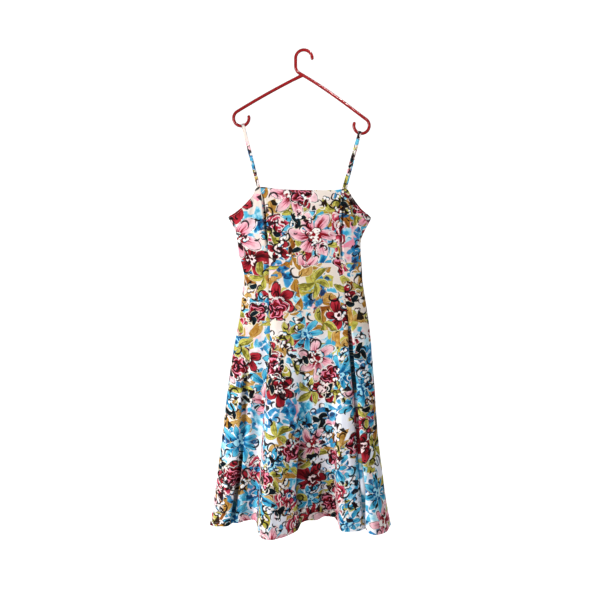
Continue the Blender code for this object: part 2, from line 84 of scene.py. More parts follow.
# Height, left side, right side, left seam and right seam (across), front depth, back depth
OUTLINE = (
    # height    left     right   seam_l  seam_r  front   back
    (-0.3895, -0.2235, 0.1990, 0.2270, 0.7930, 0.0150, 0.0140),
    (-0.4415, -0.2235, 0.1990, 0.2390, 0.7840, 0.0210, 0.0160),
    (-0.4795, -0.2235, 0.1990, 0.2480, 0.7740, 0.0250, 0.0180),
    (-0.4995, -0.2125, 0.1910, 0.2470, 0.7710, 0.0260, 0.0190),
    (-0.5175, -0.2035, 0.1815, 0.2430, 0.7740, 0.0265, 0.0200),
    (-0.5535, -0.1970, 0.1690, 0.2420, 0.8050, 0.0260, 0.0220),
    (-0.5885, -0.1930, 0.1700, 0.2430, 0.8180, 0.0260, 0.0235),
    (-0.6245, -0.1835, 0.1735, 0.2240, 0.8300, 0.0260, 0.0250),
    (-0.6605, -0.1775, 0.1750, 0.2080, 0.8350, 0.0270, 0.0265),
    (-0.6965, -0.1830, 0.1800, 0.2150, 0.8360, 0.0290, 0.0290),
    (-0.7695, -0.1915, 0.1925, 0.2350, 0.8400, 0.0340, 0.0360),
    (-0.8605, -0.2090, 0.2035, 0.2560, 0.8480, 0.0380, 0.0460),
    (-0.9715, -0.2270, 0.2135, 0.2580, 0.8540, 0.0400, 0.0560),
    (-1.1395, -0.2485, 0.2270, 0.2570, 0.8560, 0.0400, 0.0680),
    (-1.2535, -0.2640, 0.2415, 0.2560, 0.8550, 0.0400, 0.0740),
    (-1.3685, -0.2800, 0.2585, 0.2550, 0.8540, 0.0400, 0.0800),
    (-1.4415, -0.2935, 0.2740, 0.2540, 0.8530, 0.0400, 0.0840),
)

# Folds of the front at the hem: across at the hem and at the hip, depth, lift of the hem
FRONT_FOLDS = (
    # at hem  at hip   depth   lift
    (0.000, 0.000, 0.000, -0.0010),
    (0.024, 0.020, 0.016, -0.0010),
    (0.068, 0.062, 0.028, 0.0040),
    (0.102, 0.098, 0.021, 0.0035),
    (0.128, 0.123, 0.002, 0.0060),
    (0.162, 0.160, 0.006, 0.0080),
    (0.198, 0.200, -0.004, 0.0120),
    (0.238, 0.235, -0.012, 0.0115),
    (0.256, 0.256, 0.004, 0.0080),
    (0.272, 0.276, 0.068, -0.0005),
    (0.299, 0.300, 0.098, -0.0045),
    (0.342, 0.338, 0.103, -0.0060),
    (0.395, 0.385, 0.090, -0.0060),
    (0.447, 0.440, 0.066, -0.0050),
    (0.485, 0.482, 0.036, -0.0040),
    (0.508, 0.508, 0.000, 0.0060),
    (0.545, 0.550, -0.009, 0.0100),
    (0.590, 0.600, -0.014, 0.0100),
    (0.640, 0.655, -0.028, 0.0175),
    (0.688, 0.712, -0.026, 0.0150),
    (0.706, 0.745, 0.000, 0.0100),
    (0.716, 0.762, 0.040, 0.0000),
    (0.738, 0.782, 0.054, -0.0010),
    (0.782, 0.808, 0.052, -0.0015),
    (0.828, 0.834, 0.042, -0.0025),
    (0.854, 0.854, 0.026, -0.0015),
    (0.872, 0.872, 0.056, -0.0065),
    (0.905, 0.902, 0.074, -0.0060),
    (0.937, 0.934, 0.070, -0.0065),
    (0.968, 0.966, 0.056, -0.0070),
    (0.990, 0.990, 0.030, -0.0015),
    (1.000, 1.000, 0.000, -0.0005),
)

# Folds of the back, which the front hides, as uneven as those of the front
BACK_FOLDS = (
    # at hem  at hip   depth   lift
    (0.000, 0.000, 0.000, -0.0010),
    (0.040, 0.036, 0.044, 0.0000),
    (0.085, 0.080, 0.070, -0.0030),
    (0.140, 0.130, 0.048, 0.0030),
    (0.190, 0.185, 0.060, 0.0020),
    (0.240, 0.240, 0.104, -0.0040),
    (0.295, 0.300, 0.112, -0.0050),
    (0.350, 0.360, 0.070, 0.0040),
    (0.410, 0.420, 0.062, 0.0050),
    (0.460, 0.465, 0.096, -0.0030),
    (0.520, 0.515, 0.118, -0.0050),
    (0.585, 0.575, 0.104, -0.0020),
    (0.640, 0.635, 0.080, 0.0040),
    (0.700, 0.700, 0.086, 0.0030),
    (0.750, 0.752, 0.116, -0.0040),
    (0.800, 0.800, 0.100, -0.0030),
    (0.850, 0.852, 0.056, 0.0040),
    (0.900, 0.900, 0.066, 0.0000),
    (0.945, 0.944, 0.074, -0.0030),
    (0.980, 0.980, 0.042, -0.0010),
    (1.000, 1.000, 0.000, -0.0005),
)

# Top edges: across, height. The armhole edges slant up to the strap, and the neckline dips.
FRONT_TOP = (
    # across   height
    (0.0000, -0.4760),
    (0.0300, -0.4700),
    (0.1140, -0.4420),
    (0.1590, -0.4215),
    (0.1820, -0.4065),
    (0.1980, -0.3920),
    (0.2080, -0.3900),
    (0.2280, -0.3900),
    (0.3850, -0.3970),
    (0.5600, -0.3990),
    (0.7250, -0.3995),
    (0.7820, -0.3970),
    (0.8180, -0.3945),
    (0.8340, -0.3980),
    (0.8520, -0.4090),
    (0.8740, -0.4235),
    (0.9000, -0.4385),
    (0.9380, -0.4575),
    (0.9780, -0.4705),
    (1.0000, -0.4791),
)
BACK_TOP = (
    # across   height
    (0.0000, -0.4791),
    (0.0900, -0.4615),
    (0.1600, -0.4415),
    (0.2050, -0.4325),
    (0.2400, -0.4320),
    (0.4000, -0.4375),
    (0.5600, -0.4385),
    (0.7300, -0.4370),
    (0.7900, -0.4325),
    (0.8300, -0.4335),
    (0.9000, -0.4535),
    (1.0000, -0.4791),
)

# Shaping of the bust: across, height, how far proud, half width across, half height
BUST = (
    # across  height   proud   wide    high
    (0.335, -0.506, 0.0070, 0.110, 0.048),
    (0.680, -0.506, 0.0070, 0.110, 0.048),
    (0.170, -0.500, 0.0035, 0.060, 0.045),
    (0.860, -0.500, 0.0035, 0.060, 0.045),
    (0.247, -0.515, -0.0045, 0.026, 0.060),
    (0.775, -0.515, -0.0035, 0.024, 0.055),
)

def curve_through(places, values):
    """A smooth curve through a table that never swings past its rows (monotone cubic)."""
    x = np.array(places, float)
    y = np.array(values, float)
    order = np.argsort(x)
    x, y = x[order], y[order]
    step = np.diff(x)
    rise = np.diff(y) / step
    slope = np.zeros(len(x))
    same_way = rise[:-1] * rise[1:] > 0
    weight_a = 2 * step[1:] + step[:-1]
    weight_b = step[1:] + 2 * step[:-1]
    safe_a = np.where(same_way, rise[:-1], 1.0)
    safe_b = np.where(same_way, rise[1:], 1.0)
    mean = (weight_a + weight_b) / (weight_a / safe_a + weight_b / safe_b)
    slope[1:-1] = np.where(same_way, mean, 0.0)
    slope[0] = rise[0]
    slope[-1] = rise[-1]

    def value(at):
        at = np.clip(np.asarray(at, float), x[0], x[-1])
        i = np.clip(np.searchsorted(x, at) - 1, 0, len(x) - 2)
        t = (at - x[i]) / step[i]
        return (
            y[i] * (1 + 2 * t) * (1 - t) ** 2
            + slope[i] * step[i] * t * (1 - t) ** 2
            + y[i + 1] * t * t * (3 - 2 * t)
            + slope[i + 1] * step[i] * t * t * (t - 1)
        )

    return value


def column(table, index):
    return [row[index] for row in table]


HEIGHTS = column(OUTLINE, 0)
side_left_x = curve_through(HEIGHTS, column(OUTLINE, 1))
side_right_x = curve_through(HEIGHTS, column(OUTLINE, 2))
seam_left_across = curve_through(HEIGHTS, column(OUTLINE, 3))
seam_right_across = curve_through(HEIGHTS, column(OUTLINE, 4))
DEPTH = {
    "front": curve_through(HEIGHTS, column(OUTLINE, 5)),
    "back": curve_through(HEIGHTS, column(OUTLINE, 6)),
}
FOLDS = {"front": FRONT_FOLDS, "back": BACK_FOLDS}
FOLD_DEPTH = {
    side: curve_through(column(table, 0), column(table, 2)) for side, table in FOLDS.items()
}
HEM_LIFT = {
    side: curve_through(column(table, 0), column(table, 3)) for side, table in FOLDS.items()
}
TO_HEM_PLACE = {
    side: curve_through(column(table, 1), column(table, 0)) for side, table in FOLDS.items()
}
TOP = {
    "front": curve_through(column(FRONT_TOP, 0), column(FRONT_TOP, 1)),
    "back": curve_through(column(BACK_TOP, 0), column(BACK_TOP, 1)),
}
FACING = {"front": -1.0, "back": 1.0}


def seam_across(seam, z):
    """Where a seam lies across the dress at height z."""
    if seam == "side_left":
        return np.zeros_like(z)
    if seam == "side_right":
        return np.ones_like(z)
    return seam_left_across(z) if seam == "seam_left" else seam_right_across(z)


def cloth(side, across, z):
    """The outer face of the dress, points of shape (..., 3)."""
    across = np.clip(np.asarray(across, float), 0.0, 1.0)
    z = np.asarray(z, float)
    left = side_left_x(z)
    right = side_right_x(z)
    x = left + (right - left) * across
    from_middle = 2 * across - 1
    round_out = np.sqrt(np.maximum(1 - from_middle**2, 0))
    turn_in = np.sqrt(np.maximum(1 - from_middle**SIDE_POWER, 0))
    way_down = np.clip((FOLDS_START - z) / (FOLDS_START - HEM), 0, FOLDS_MOST)
    fold_share = way_down**FOLDS_GROW
    to_hip = np.clip((z - HEM) / (HIP - HEM), 0, 1)
    place = across + (TO_HEM_PLACE[side](across) - across) * to_hip
    plain = DEPTH[side](z) * round_out
    folded = FOLD_DEPTH[side](place) * turn_in
    depth = plain * (1 - fold_share) + folded * fold_share
    if side == "front":
        for middle, height, proud, wide, high in BUST:
            spread = ((across - middle) / wide) ** 2 + ((z - height) / high) ** 2
            depth = depth + proud * np.exp(-spread) * turn_in
    y = FACING[side] * (depth + GAP / 2)
    return np.stack(np.broadcast_arrays(x, y, z), axis=-1)


def way_out(side, across, z):
    """Unit normals of the outer face, pointing out of the dress."""
    low = np.clip(across - SMALL_ACROSS, 0, 1)
    high = np.clip(across + SMALL_ACROSS, 0, 1)
    over = cloth(side, high, z) - cloth(side, low, z)
    up = cloth(side, across, z + SMALL_HEIGHT) - cloth(side, across, z - SMALL_HEIGHT)
    normal = np.cross(over, up)
    if side == "back":
        normal = -normal
    at_side = (across <= 0) | (across >= 1)
    normal[..., 1] = np.where(at_side, 0.0, normal[..., 1])
    return normal / np.linalg.norm(normal, axis=-1, keepdims=True)



# Panels: name, back or front, seams on the left and the right, columns, place of its print
PANELS = (
    # name              side     left seam    right seam    columns  print (along, down)
    ("front_centre", "front", "seam_left", "seam_right", 150, (0.20, 0.05)),
    ("front_side_left", "front", "side_left", "seam_left", 76, (1.55, 0.33)),
    ("front_side_right", "front", "seam_right", "side_right", 76, (2.80, 0.61)),
    ("back_centre", "back", "seam_left", "seam_right", 104, (4.10, 0.20)),
    ("back_side_left", "back", "side_left", "seam_left", 46, (5.45, 0.47)),
    ("back_side_right", "back", "seam_right", "side_right", 46, (6.70, 0.11)),
)
PANEL_ROWS = 236
FLAT_LEVELS = 240
HEM_SAMPLES = 600
TOP_EDGE_PASSES = 12
SMALL_ACROSS = 0.0004
SMALL_HEIGHT = 0.0004

# Creases that a hand would find in the hanging cloth, on top of the folds of the tables above
CREASES = (
    # side, depth (a ridge is negative), half width, points (x, z) from one end to the other
    ("front", 0.0130, 0.0036, ((-0.121, -0.400), (-0.116, -0.455), (-0.113, -0.510), (-0.106, -0.575))),
    ("front", 0.0034, 0.0060, ((-0.107, -0.560), (-0.103, -0.610), (-0.104, -0.660))),
    ("front", 0.0070, 0.0036, ((0.118, -0.400), (0.139, -0.429), (0.150, -0.475), (0.154, -0.515))),
    ("front", 0.0100, 0.0038, ((0.117, -0.430), (0.113, -0.490), (0.110, -0.555), (0.114, -0.615))),
    ("front", 0.0030, 0.0070, ((-0.145, -0.406), (-0.152, -0.443), (-0.156, -0.481), (-0.150, -0.515))),
    ("front", -0.0030, 0.0110, ((-0.097, -0.430), (-0.094, -0.500), (-0.090, -0.560))),
    ("front", -0.0026, 0.0100, ((0.097, -0.440), (0.095, -0.505), (0.096, -0.570))),
    ("front", 0.0020, 0.0080, ((-0.190, -0.560), (-0.160, -0.585), (-0.128, -0.590))),
    ("front", 0.0018, 0.0070, ((-0.182, -0.640), (-0.150, -0.652), (-0.118, -0.640))),
    ("front", 0.0016, 0.0065, ((0.168, -0.575), (0.140, -0.600), (0.118, -0.602))),
    ("front", 0.0017, 0.0075, ((0.172, -0.668), (0.146, -0.676), (0.112, -0.660))),
    ("front", 0.0012, 0.0090, ((-0.070, -0.640), (-0.020, -0.655), (0.040, -0.648))),
    ("front", 0.0014, 0.0085, ((-0.085, -0.700), (-0.050, -0.712), (-0.010, -0.705))),
    ("front", 0.0090, 0.0090, ((-0.172, -0.900), (-0.177, -1.000), (-0.178, -1.083), (-0.188, -1.180))),
    ("front", 0.0160, 0.0055, ((-0.186, -1.150), (-0.198, -1.268), (-0.216, -1.385), (-0.221, -1.430))),
    ("front", -0.0040, 0.0120, ((-0.158, -0.980), (-0.162, -1.090), (-0.170, -1.200))),
    ("front", 0.0190, 0.0052, ((0.132, -0.780), (0.138, -0.831), (0.146, -0.927), (0.156, -1.022))),
    ("front", 0.0190, 0.0048, ((0.152, -0.990), (0.166, -1.175), (0.181, -1.297), (0.183, -1.416))),
    ("front", -0.0035, 0.0120, ((0.172, -0.950), (0.184, -1.080), (0.196, -1.230))),
    ("front", 0.0140, 0.0072, ((-0.004, -1.130), (-0.010, -1.219), (-0.015, -1.300), (-0.008, -1.415))),
    ("front", 0.0030, 0.0110, ((-0.056, -0.985), (-0.057, -1.060), (-0.053, -1.150))),
    ("front", 0.0028, 0.0110, ((-0.006, -0.960), (-0.005, -1.040), (-0.009, -1.130))),
    ("front", 0.0034, 0.0120, ((0.118, -1.090), (0.123, -1.190), (0.128, -1.300))),
    ("front", 0.0030, 0.0100, ((0.062, -1.220), (0.060, -1.310), (0.052, -1.425))),
    ("front", -0.0028, 0.0130, ((-0.110, -1.180), (-0.118, -1.290), (-0.121, -1.420))),
    ("front", 0.0026, 0.0120, ((-0.082, -1.230), (-0.086, -1.330), (-0.090, -1.430))),
    ("front", 0.0032, 0.0090, ((-0.244, -1.190), (-0.256, -1.310), (-0.266, -1.420))),
    ("front", 0.0030, 0.0100, ((0.220, -1.120), (0.232, -1.260), (0.240, -1.420))),
    ("front", 0.0016, 0.0120, ((-0.135, -0.790), (-0.120, -0.860), (-0.118, -0.950))),
    ("front", 0.0014, 0.0130, ((0.070, -0.780), (0.064, -0.880), (0.070, -0.990))),
    ("back", 0.0048, 0.0070, ((-0.118, -0.440), (-0.114, -0.500), (-0.108, -0.580))),
    ("back", 0.0042, 0.0065, ((0.112, -0.440), (0.110, -0.510), (0.113, -0.600))),
    ("back", 0.0020, 0.0100, ((-0.060, -0.520), (-0.020, -0.545), (0.030, -0.535))),
    ("back", 0.0024, 0.0090, ((-0.100, -0.625), (-0.040, -0.655), (0.010, -0.650))),
    ("back", 0.0022, 0.0085, ((0.030, -0.668), (0.080, -0.690), (0.140, -0.680))),
    ("back", 0.0018, 0.0080, ((-0.170, -0.690), (-0.130, -0.705), (-0.090, -0.700))),
    ("back", 0.0050, 0.0110, ((-0.150, -0.900), (-0.160, -1.040), (-0.175, -1.220), (-0.190, -1.400))),
    ("back", 0.0042, 0.0120, ((-0.060, -0.960), (-0.062, -1.110), (-0.070, -1.290))),
    ("back", 0.0038, 0.0100, ((0.030, -1.080), (0.040, -1.220), (0.036, -1.410))),
    ("back", 0.0052, 0.0110, ((0.110, -0.920), (0.124, -1.090), (0.140, -1.260), (0.150, -1.420))),
    ("back", 0.0034, 0.0120, ((0.196, -1.120), (0.214, -1.270), (0.226, -1.410))),
    ("back", -0.0030, 0.0130, ((-0.020, -1.120), (-0.016, -1.260), (-0.014, -1.410))),
    ("back", 0.0030, 0.0090, ((-0.240, -1.180), (-0.254, -1.300), (-0.262, -1.415))),
)
FOLD_DARKEST = 0.010      # depth of crease at which the painted shade in the cloth's colour is darkest
CREASE_TAPER = 0.22       # share of a crease over which each end fades
BANK_WIDTH = 2.4          # the low banks beside a trough, in its own half widths
BANK_SHARE = 0.30

# Softer unevenness of the whole cloth: size along, size down, height, seed
RUMPLES = (
    (0.060, 0.190, 0.0013, 3),
    (0.028, 0.060, 0.0006, 7),
    (0.012, 0.020, 0.00018, 11),
)


def smooth_noise(along, down, seed):
    """Smooth uneven values from -1 to 1, the same each time."""
    grid = np.random.default_rng(seed).uniform(-1, 1, (128, 128))
    i = np.floor(along).astype(int)
    j = np.floor(down).astype(int)
    u = along - i
    v = down - j
    u = u * u * (3 - 2 * u)
    v = v * v * (3 - 2 * v)
    at = [[grid[(j + b) % 128, (i + a) % 128] for a in (0, 1)] for b in (0, 1)]
    upper = at[0][0] * (1 - u) + at[0][1] * u
    lower = at[1][0] * (1 - u) + at[1][1] * u
    return upper * (1 - v) + lower * v


def smooth_step(value, low, high):
    t = np.clip((value - low) / (high - low), 0, 1)
    return t * t * (3 - 2 * t)


def from_path(x, z, path):
    """Distance of each point from a line of points, and its share of the line's length."""
    path = np.array(path, float)
    lengths = np.linalg.norm(np.diff(path, axis=0), axis=1)
    before = np.concatenate([[0], np.cumsum(lengths)])
    nearest = np.full(x.shape, 1e9)
    share = np.zeros(x.shape)
    for start, end, length, run in zip(path, path[1:], lengths, before):
        way = (end - start) / length
        along = np.clip((x - start[0]) * way[0] + (z - start[1]) * way[1], 0, length)
        distance = np.hypot(x - start[0] - way[0] * along, z - start[1] - way[1] * along)
        closer = distance < nearest
        nearest = np.where(closer, distance, nearest)
        share = np.where(closer, (run + along) / before[-1], share)
    return nearest, share


def crease_lift(side, x, z, strength):
    """How far the creases move the cloth outward."""
    lift = np.zeros(x.shape)
    for crease_side, depth, half_width, path in CREASES:
        if crease_side != side:
            continue
        distance, share = from_path(x, z, path)
        trough = np.exp(-((distance / half_width) ** 2))
        banks = np.exp(-((distance / (half_width * BANK_WIDTH)) ** 2))
        fade = smooth_step(share, 0, CREASE_TAPER) * smooth_step(1 - share, 0, CREASE_TAPER)
        lift -= depth * strength * fade * (trough - BANK_SHARE * banks)
    return lift


def cloth_lift(side, across, z, settings):
    """All that the finer cloth adds to the plain form, outward, in metres."""
    place = cloth(side, across, z)
    x = place[..., 0]
    lift = crease_lift(side, x, z, settings.crease_depth)
    shift = 0.0 if side == "front" else 40.0
    looser = 0.45 + 0.55 * smooth_step(-z, 0.62, 0.95)
    for along, down, height, seed in RUMPLES:
        lift += height * looser * smooth_noise(x / along + shift, z / down + 60.0, seed)
    for seam in ("seam_left", "seam_right"):
        left = side_left_x(z)
        seam_x = left + (side_right_x(z) - left) * seam_across(seam, z)
        from_seam = np.abs(x - seam_x)
        pucker = smooth_noise(z / settings.pucker_size + 9.0, from_seam / 0.02, 17)
        lift += settings.pucker_height * pucker * np.exp(-((from_seam / 0.011) ** 2))
        lift -= settings.seam_groove * np.exp(-((from_seam / 0.0016) ** 2))
    hem = HEM + HEM_LIFT[side](across)
    above_hem = z - hem
    ruffle = smooth_noise(x / 0.016 + shift, above_hem / 0.03 + 5.0, 23)
    lift += 0.0012 * ruffle * smooth_step(-above_hem, -0.040, -0.004)
    lift -= settings.seam_groove * 0.6 * np.exp(-(((above_hem - settings.hem_turn) / 0.0012) ** 2))
    top = TOP[side](across)
    below_top = top - z
    lift -= settings.seam_groove * 0.5 * np.exp(-(((below_top - settings.edge_turn) / 0.0012) ** 2))
    edge = np.minimum(across, 1 - across)
    return lift * smooth_step(edge, 0.0, 0.035)


def even_columns(side, seam_a, seam_b, count):
    """Shares of a panel's width that lie evenly along its folded hem, and close at its seams."""
    share = np.linspace(0, 1, HEM_SAMPLES)
    z = np.full_like(share, HEM)
    a = seam_across(seam_a, z)
    b = seam_across(seam_b, z)
    points = cloth(side, a + (b - a) * share, z)
    run = np.concatenate([[0], np.cumsum(np.linalg.norm(np.diff(points, axis=0), axis=1))])
    near_seam = np.array([0.0, 0.0009, 0.0022, 0.0042])
    inner = np.linspace(near_seam[-1], run[-1] - near_seam[-1], count - 2 * len(near_seam) + 3)
    places = np.concatenate([near_seam[:-1], inner, run[-1] - near_seam[-2::-1]])
    return np.interp(places, run, share)


def even_rows(settings):
    """Shares of the way from the top edge to the hem, close together at both edges."""
    length = TOP["front"](0.5) - HEM
    top = np.array([0.0, 0.0007, 0.0018, 0.0034])
    top = np.append(top, settings.edge_turn + np.array([-0.0014, 0.0, 0.0014]))
    hem = np.array([0.0, 0.0007, 0.0018, 0.0040, 0.0080])
    hem = np.append(hem, settings.hem_turn + np.array([-0.0014, 0.0, 0.0014]))
    middle = np.linspace(top[-1], length - hem[-1], PANEL_ROWS - len(top) - len(hem) + 2)
    return np.concatenate([top[:-1], middle, length - hem[-2::-1]]) / length


def trimmed(side, across, z, inward):
    """across moved inward by half a gap along the cloth, at a seam."""
    step = cloth(side, across + SMALL_ACROSS * inward, z) - cloth(side, across, z)
    return across + inward * (GAP / 2) * SMALL_ACROSS / np.linalg.norm(step, axis=-1)


def panel_grid(side, seam_a, seam_b, share, down):
    """(across, z) of a panel's points, from the top edge to the hem."""
    top = TOP[side](share)
    for _ in range(TOP_EDGE_PASSES):
        a = seam_across(seam_a, top)
        b = seam_across(seam_b, top)
        top = TOP[side](a + (b - a) * share)
    a = seam_across(seam_a, np.full_like(share, HEM))
    b = seam_across(seam_b, np.full_like(share, HEM))
    bottom = HEM + HEM_LIFT[side](a + (b - a) * share)
    z = top[None, :] + (bottom - top)[None, :] * down[:, None]
    a = seam_across(seam_a, z)
    b = seam_across(seam_b, z)
    across = a + (b - a) * share[None, :]
    if seam_a != "side_left":
        across[:, 0] = trimmed(side, across[:, 0], z[:, 0], 1.0)
    if seam_b != "side_right":
        across[:, -1] = trimmed(side, across[:, -1], z[:, -1], -1.0)
    return across, z


def grid_normals(points, side, across):
    """Outward unit normals of a grid of points."""
    over = np.gradient(points, axis=1)
    down = np.gradient(points, axis=0)
    normal = np.cross(down, over) * (1.0 if side == "front" else -1.0)
    at_side = (across <= 0) | (across >= 1)
    normal[..., 1] = np.where(at_side, 0.0, normal[..., 1])
    return normal / np.linalg.norm(normal, axis=-1, keepdims=True)


def rim_of(rows, columns):
    """Indices round the rim of a grid."""
    rim = list(range(columns))
    rim += [i * columns + columns - 1 for i in range(1, rows)]
    rim += [(rows - 1) * columns + j for j in range(columns - 2, -1, -1)]
    rim += [i * columns for i in range(rows - 2, 0, -1)]
    return rim


def shell(outer, inner, bulge):
    """Points and faces of a thin closed cloth with a softly rounded rim.

    The rim's middle stands out by bulge times the cloth's thickness."""
    rows, columns = outer.shape[:2]
    shift = rows * columns
    down = np.gradient(outer, axis=0)
    over = np.gradient(outer, axis=1)
    away = np.zeros_like(outer)
    away[0] -= unit_rows(down[0])
    away[-1] += unit_rows(down[-1])
    away[1:-1, 0] -= unit_rows(over[1:-1, 0])
    away[1:-1, -1] += unit_rows(over[1:-1, -1])
    rim = rim_of(rows, columns)
    thickness = np.linalg.norm(outer - inner, axis=-1, keepdims=True)
    middle = ((outer + inner) / 2 + away * thickness * bulge).reshape(-1, 3)[rim]
    points = np.concatenate([outer.reshape(-1, 3), inner.reshape(-1, 3), middle])
    i, j = np.meshgrid(np.arange(rows - 1), np.arange(columns - 1), indexing="ij")
    a = (i * columns + j).ravel()
    quads = np.stack([a, a + 1, a + columns + 1, a + columns], axis=1)
    under = quads[:, ::-1] + shift
    ring = np.array(rim)
    after = np.roll(ring, -1)
    edge = 2 * shift + np.arange(len(rim))
    edge_after = np.roll(edge, -1)
    upper_rim = np.stack([after, ring, edge, edge_after], axis=1)
    lower_rim = np.stack([edge_after, edge, ring + shift, after + shift], axis=1)
    faces = np.concatenate([quads, under, upper_rim, lower_rim])
    return points, faces


def unit_rows(vectors):
    return vectors / np.linalg.norm(vectors, axis=-1, keepdims=True)


def cloth_measure(outer):
    """Places on the cloth in metres: along from its middle column, down from its top edge."""
    step_over = np.linalg.norm(np.diff(outer, axis=1), axis=-1)
    step_down = np.linalg.norm(np.diff(outer, axis=0), axis=-1)
    along = np.concatenate([np.zeros((outer.shape[0], 1)), np.cumsum(step_over, axis=1)], axis=1)
    down = np.concatenate([np.zeros((1, outer.shape[1])), np.cumsum(step_down, axis=0)], axis=0)
    middle = outer.shape[1] // 2
    along = along - along[:, middle:middle + 1]
    return along, down


def flat_places(side, seam_a, seam_b, share, z):
    """Places of a panel's points on its flat cut, in metres, worked out on level rows."""
    levels = np.linspace(z.max(), z.min(), FLAT_LEVELS)
    level = np.broadcast_to(levels[:, None], (FLAT_LEVELS, len(share)))
    a = seam_across(seam_a, level)
    b = seam_across(seam_b, level)
    points = cloth(side, a + (b - a) * share, level)
    along, _ = cloth_measure(points)
    tangent = unit_rows(np.gradient(points, axis=1))
    step = np.diff(points, axis=0)
    lean = (step * tangent[1:]).sum(axis=-1)
    straight = np.sqrt((step**2).sum(axis=-1) - lean**2)
    middle = len(share) // 2
    slide = np.concatenate([[0], np.cumsum(lean[:, middle])])
    down = np.concatenate([np.zeros((1, len(share))), np.cumsum(straight, axis=0)])
    u = np.empty_like(z)
    v = np.empty_like(z)
    for column in range(len(share)):
        u[:, column] = np.interp(-z[:, column], -levels, (along + slide[:, None])[:, column])
        v[:, column] = np.interp(-z[:, column], -levels, down[:, column])
    return u, v


def turned_outward(points, faces):
    """The faces of a closed body, all turned round if they faced inward."""
    corners = np.array([(f[0], b, c) for f in faces for b, c in zip(f[1:], f[2:])])
    a, b, c = np.asarray(points)[corners].transpose(1, 0, 2)
    if (a * np.cross(b, c)).sum() < 0:
        return [tuple(reversed(face)) for face in faces]
    return faces


def mesh_object(name, points, faces, marks=(), uvs=None):
    """One object with a mesh of its own, its place in its points, smooth shaded."""
    faces = turned_outward(points, [tuple(int(k) for k in face) for face in faces])
    mesh = bpy.data.meshes.new(name)
    mesh.from_pydata([tuple(p) for p in points], [], faces)
    mesh.validate()
    for mark, values in marks:
        attribute = mesh.attributes.new(mark, "FLOAT", "POINT")
        attribute.data.foreach_set("value", np.asarray(values, np.float32))
    if uvs is not None:
        layer = mesh.uv_layers.new(name="cut")
        corners = np.zeros(len(mesh.loops), np.int32)
        mesh.loops.foreach_get("vertex_index", corners)
        layer.data.foreach_set("uv", np.asarray(uvs, np.float32)[corners].ravel())
    mesh.shade_smooth()
    mesh.set_sharp_from_angle(angle=math.radians(62))
    made = bpy.data.objects.new(name, mesh)
    bpy.context.scene.collection.objects.link(made)
    return made


class Flow:
    """A number, vector or colour on its way through a node tree; sums and products add nodes."""

    def __init__(self, wiring, socket):
        self.wiring = wiring
        self.socket = socket

    def __add__(self, other):
        return self.wiring.math("ADD", self, other)

    def __sub__(self, other):
        return self.wiring.math("SUBTRACT", self, other)

    def __rsub__(self, other):
        return self.wiring.math("SUBTRACT", other, self)

    def __mul__(self, other):
        return self.wiring.math("MULTIPLY", self, other)

    def __truediv__(self, other):
        return self.wiring.math("DIVIDE", self, other)

    __radd__ = __add__
    __rmul__ = __mul__


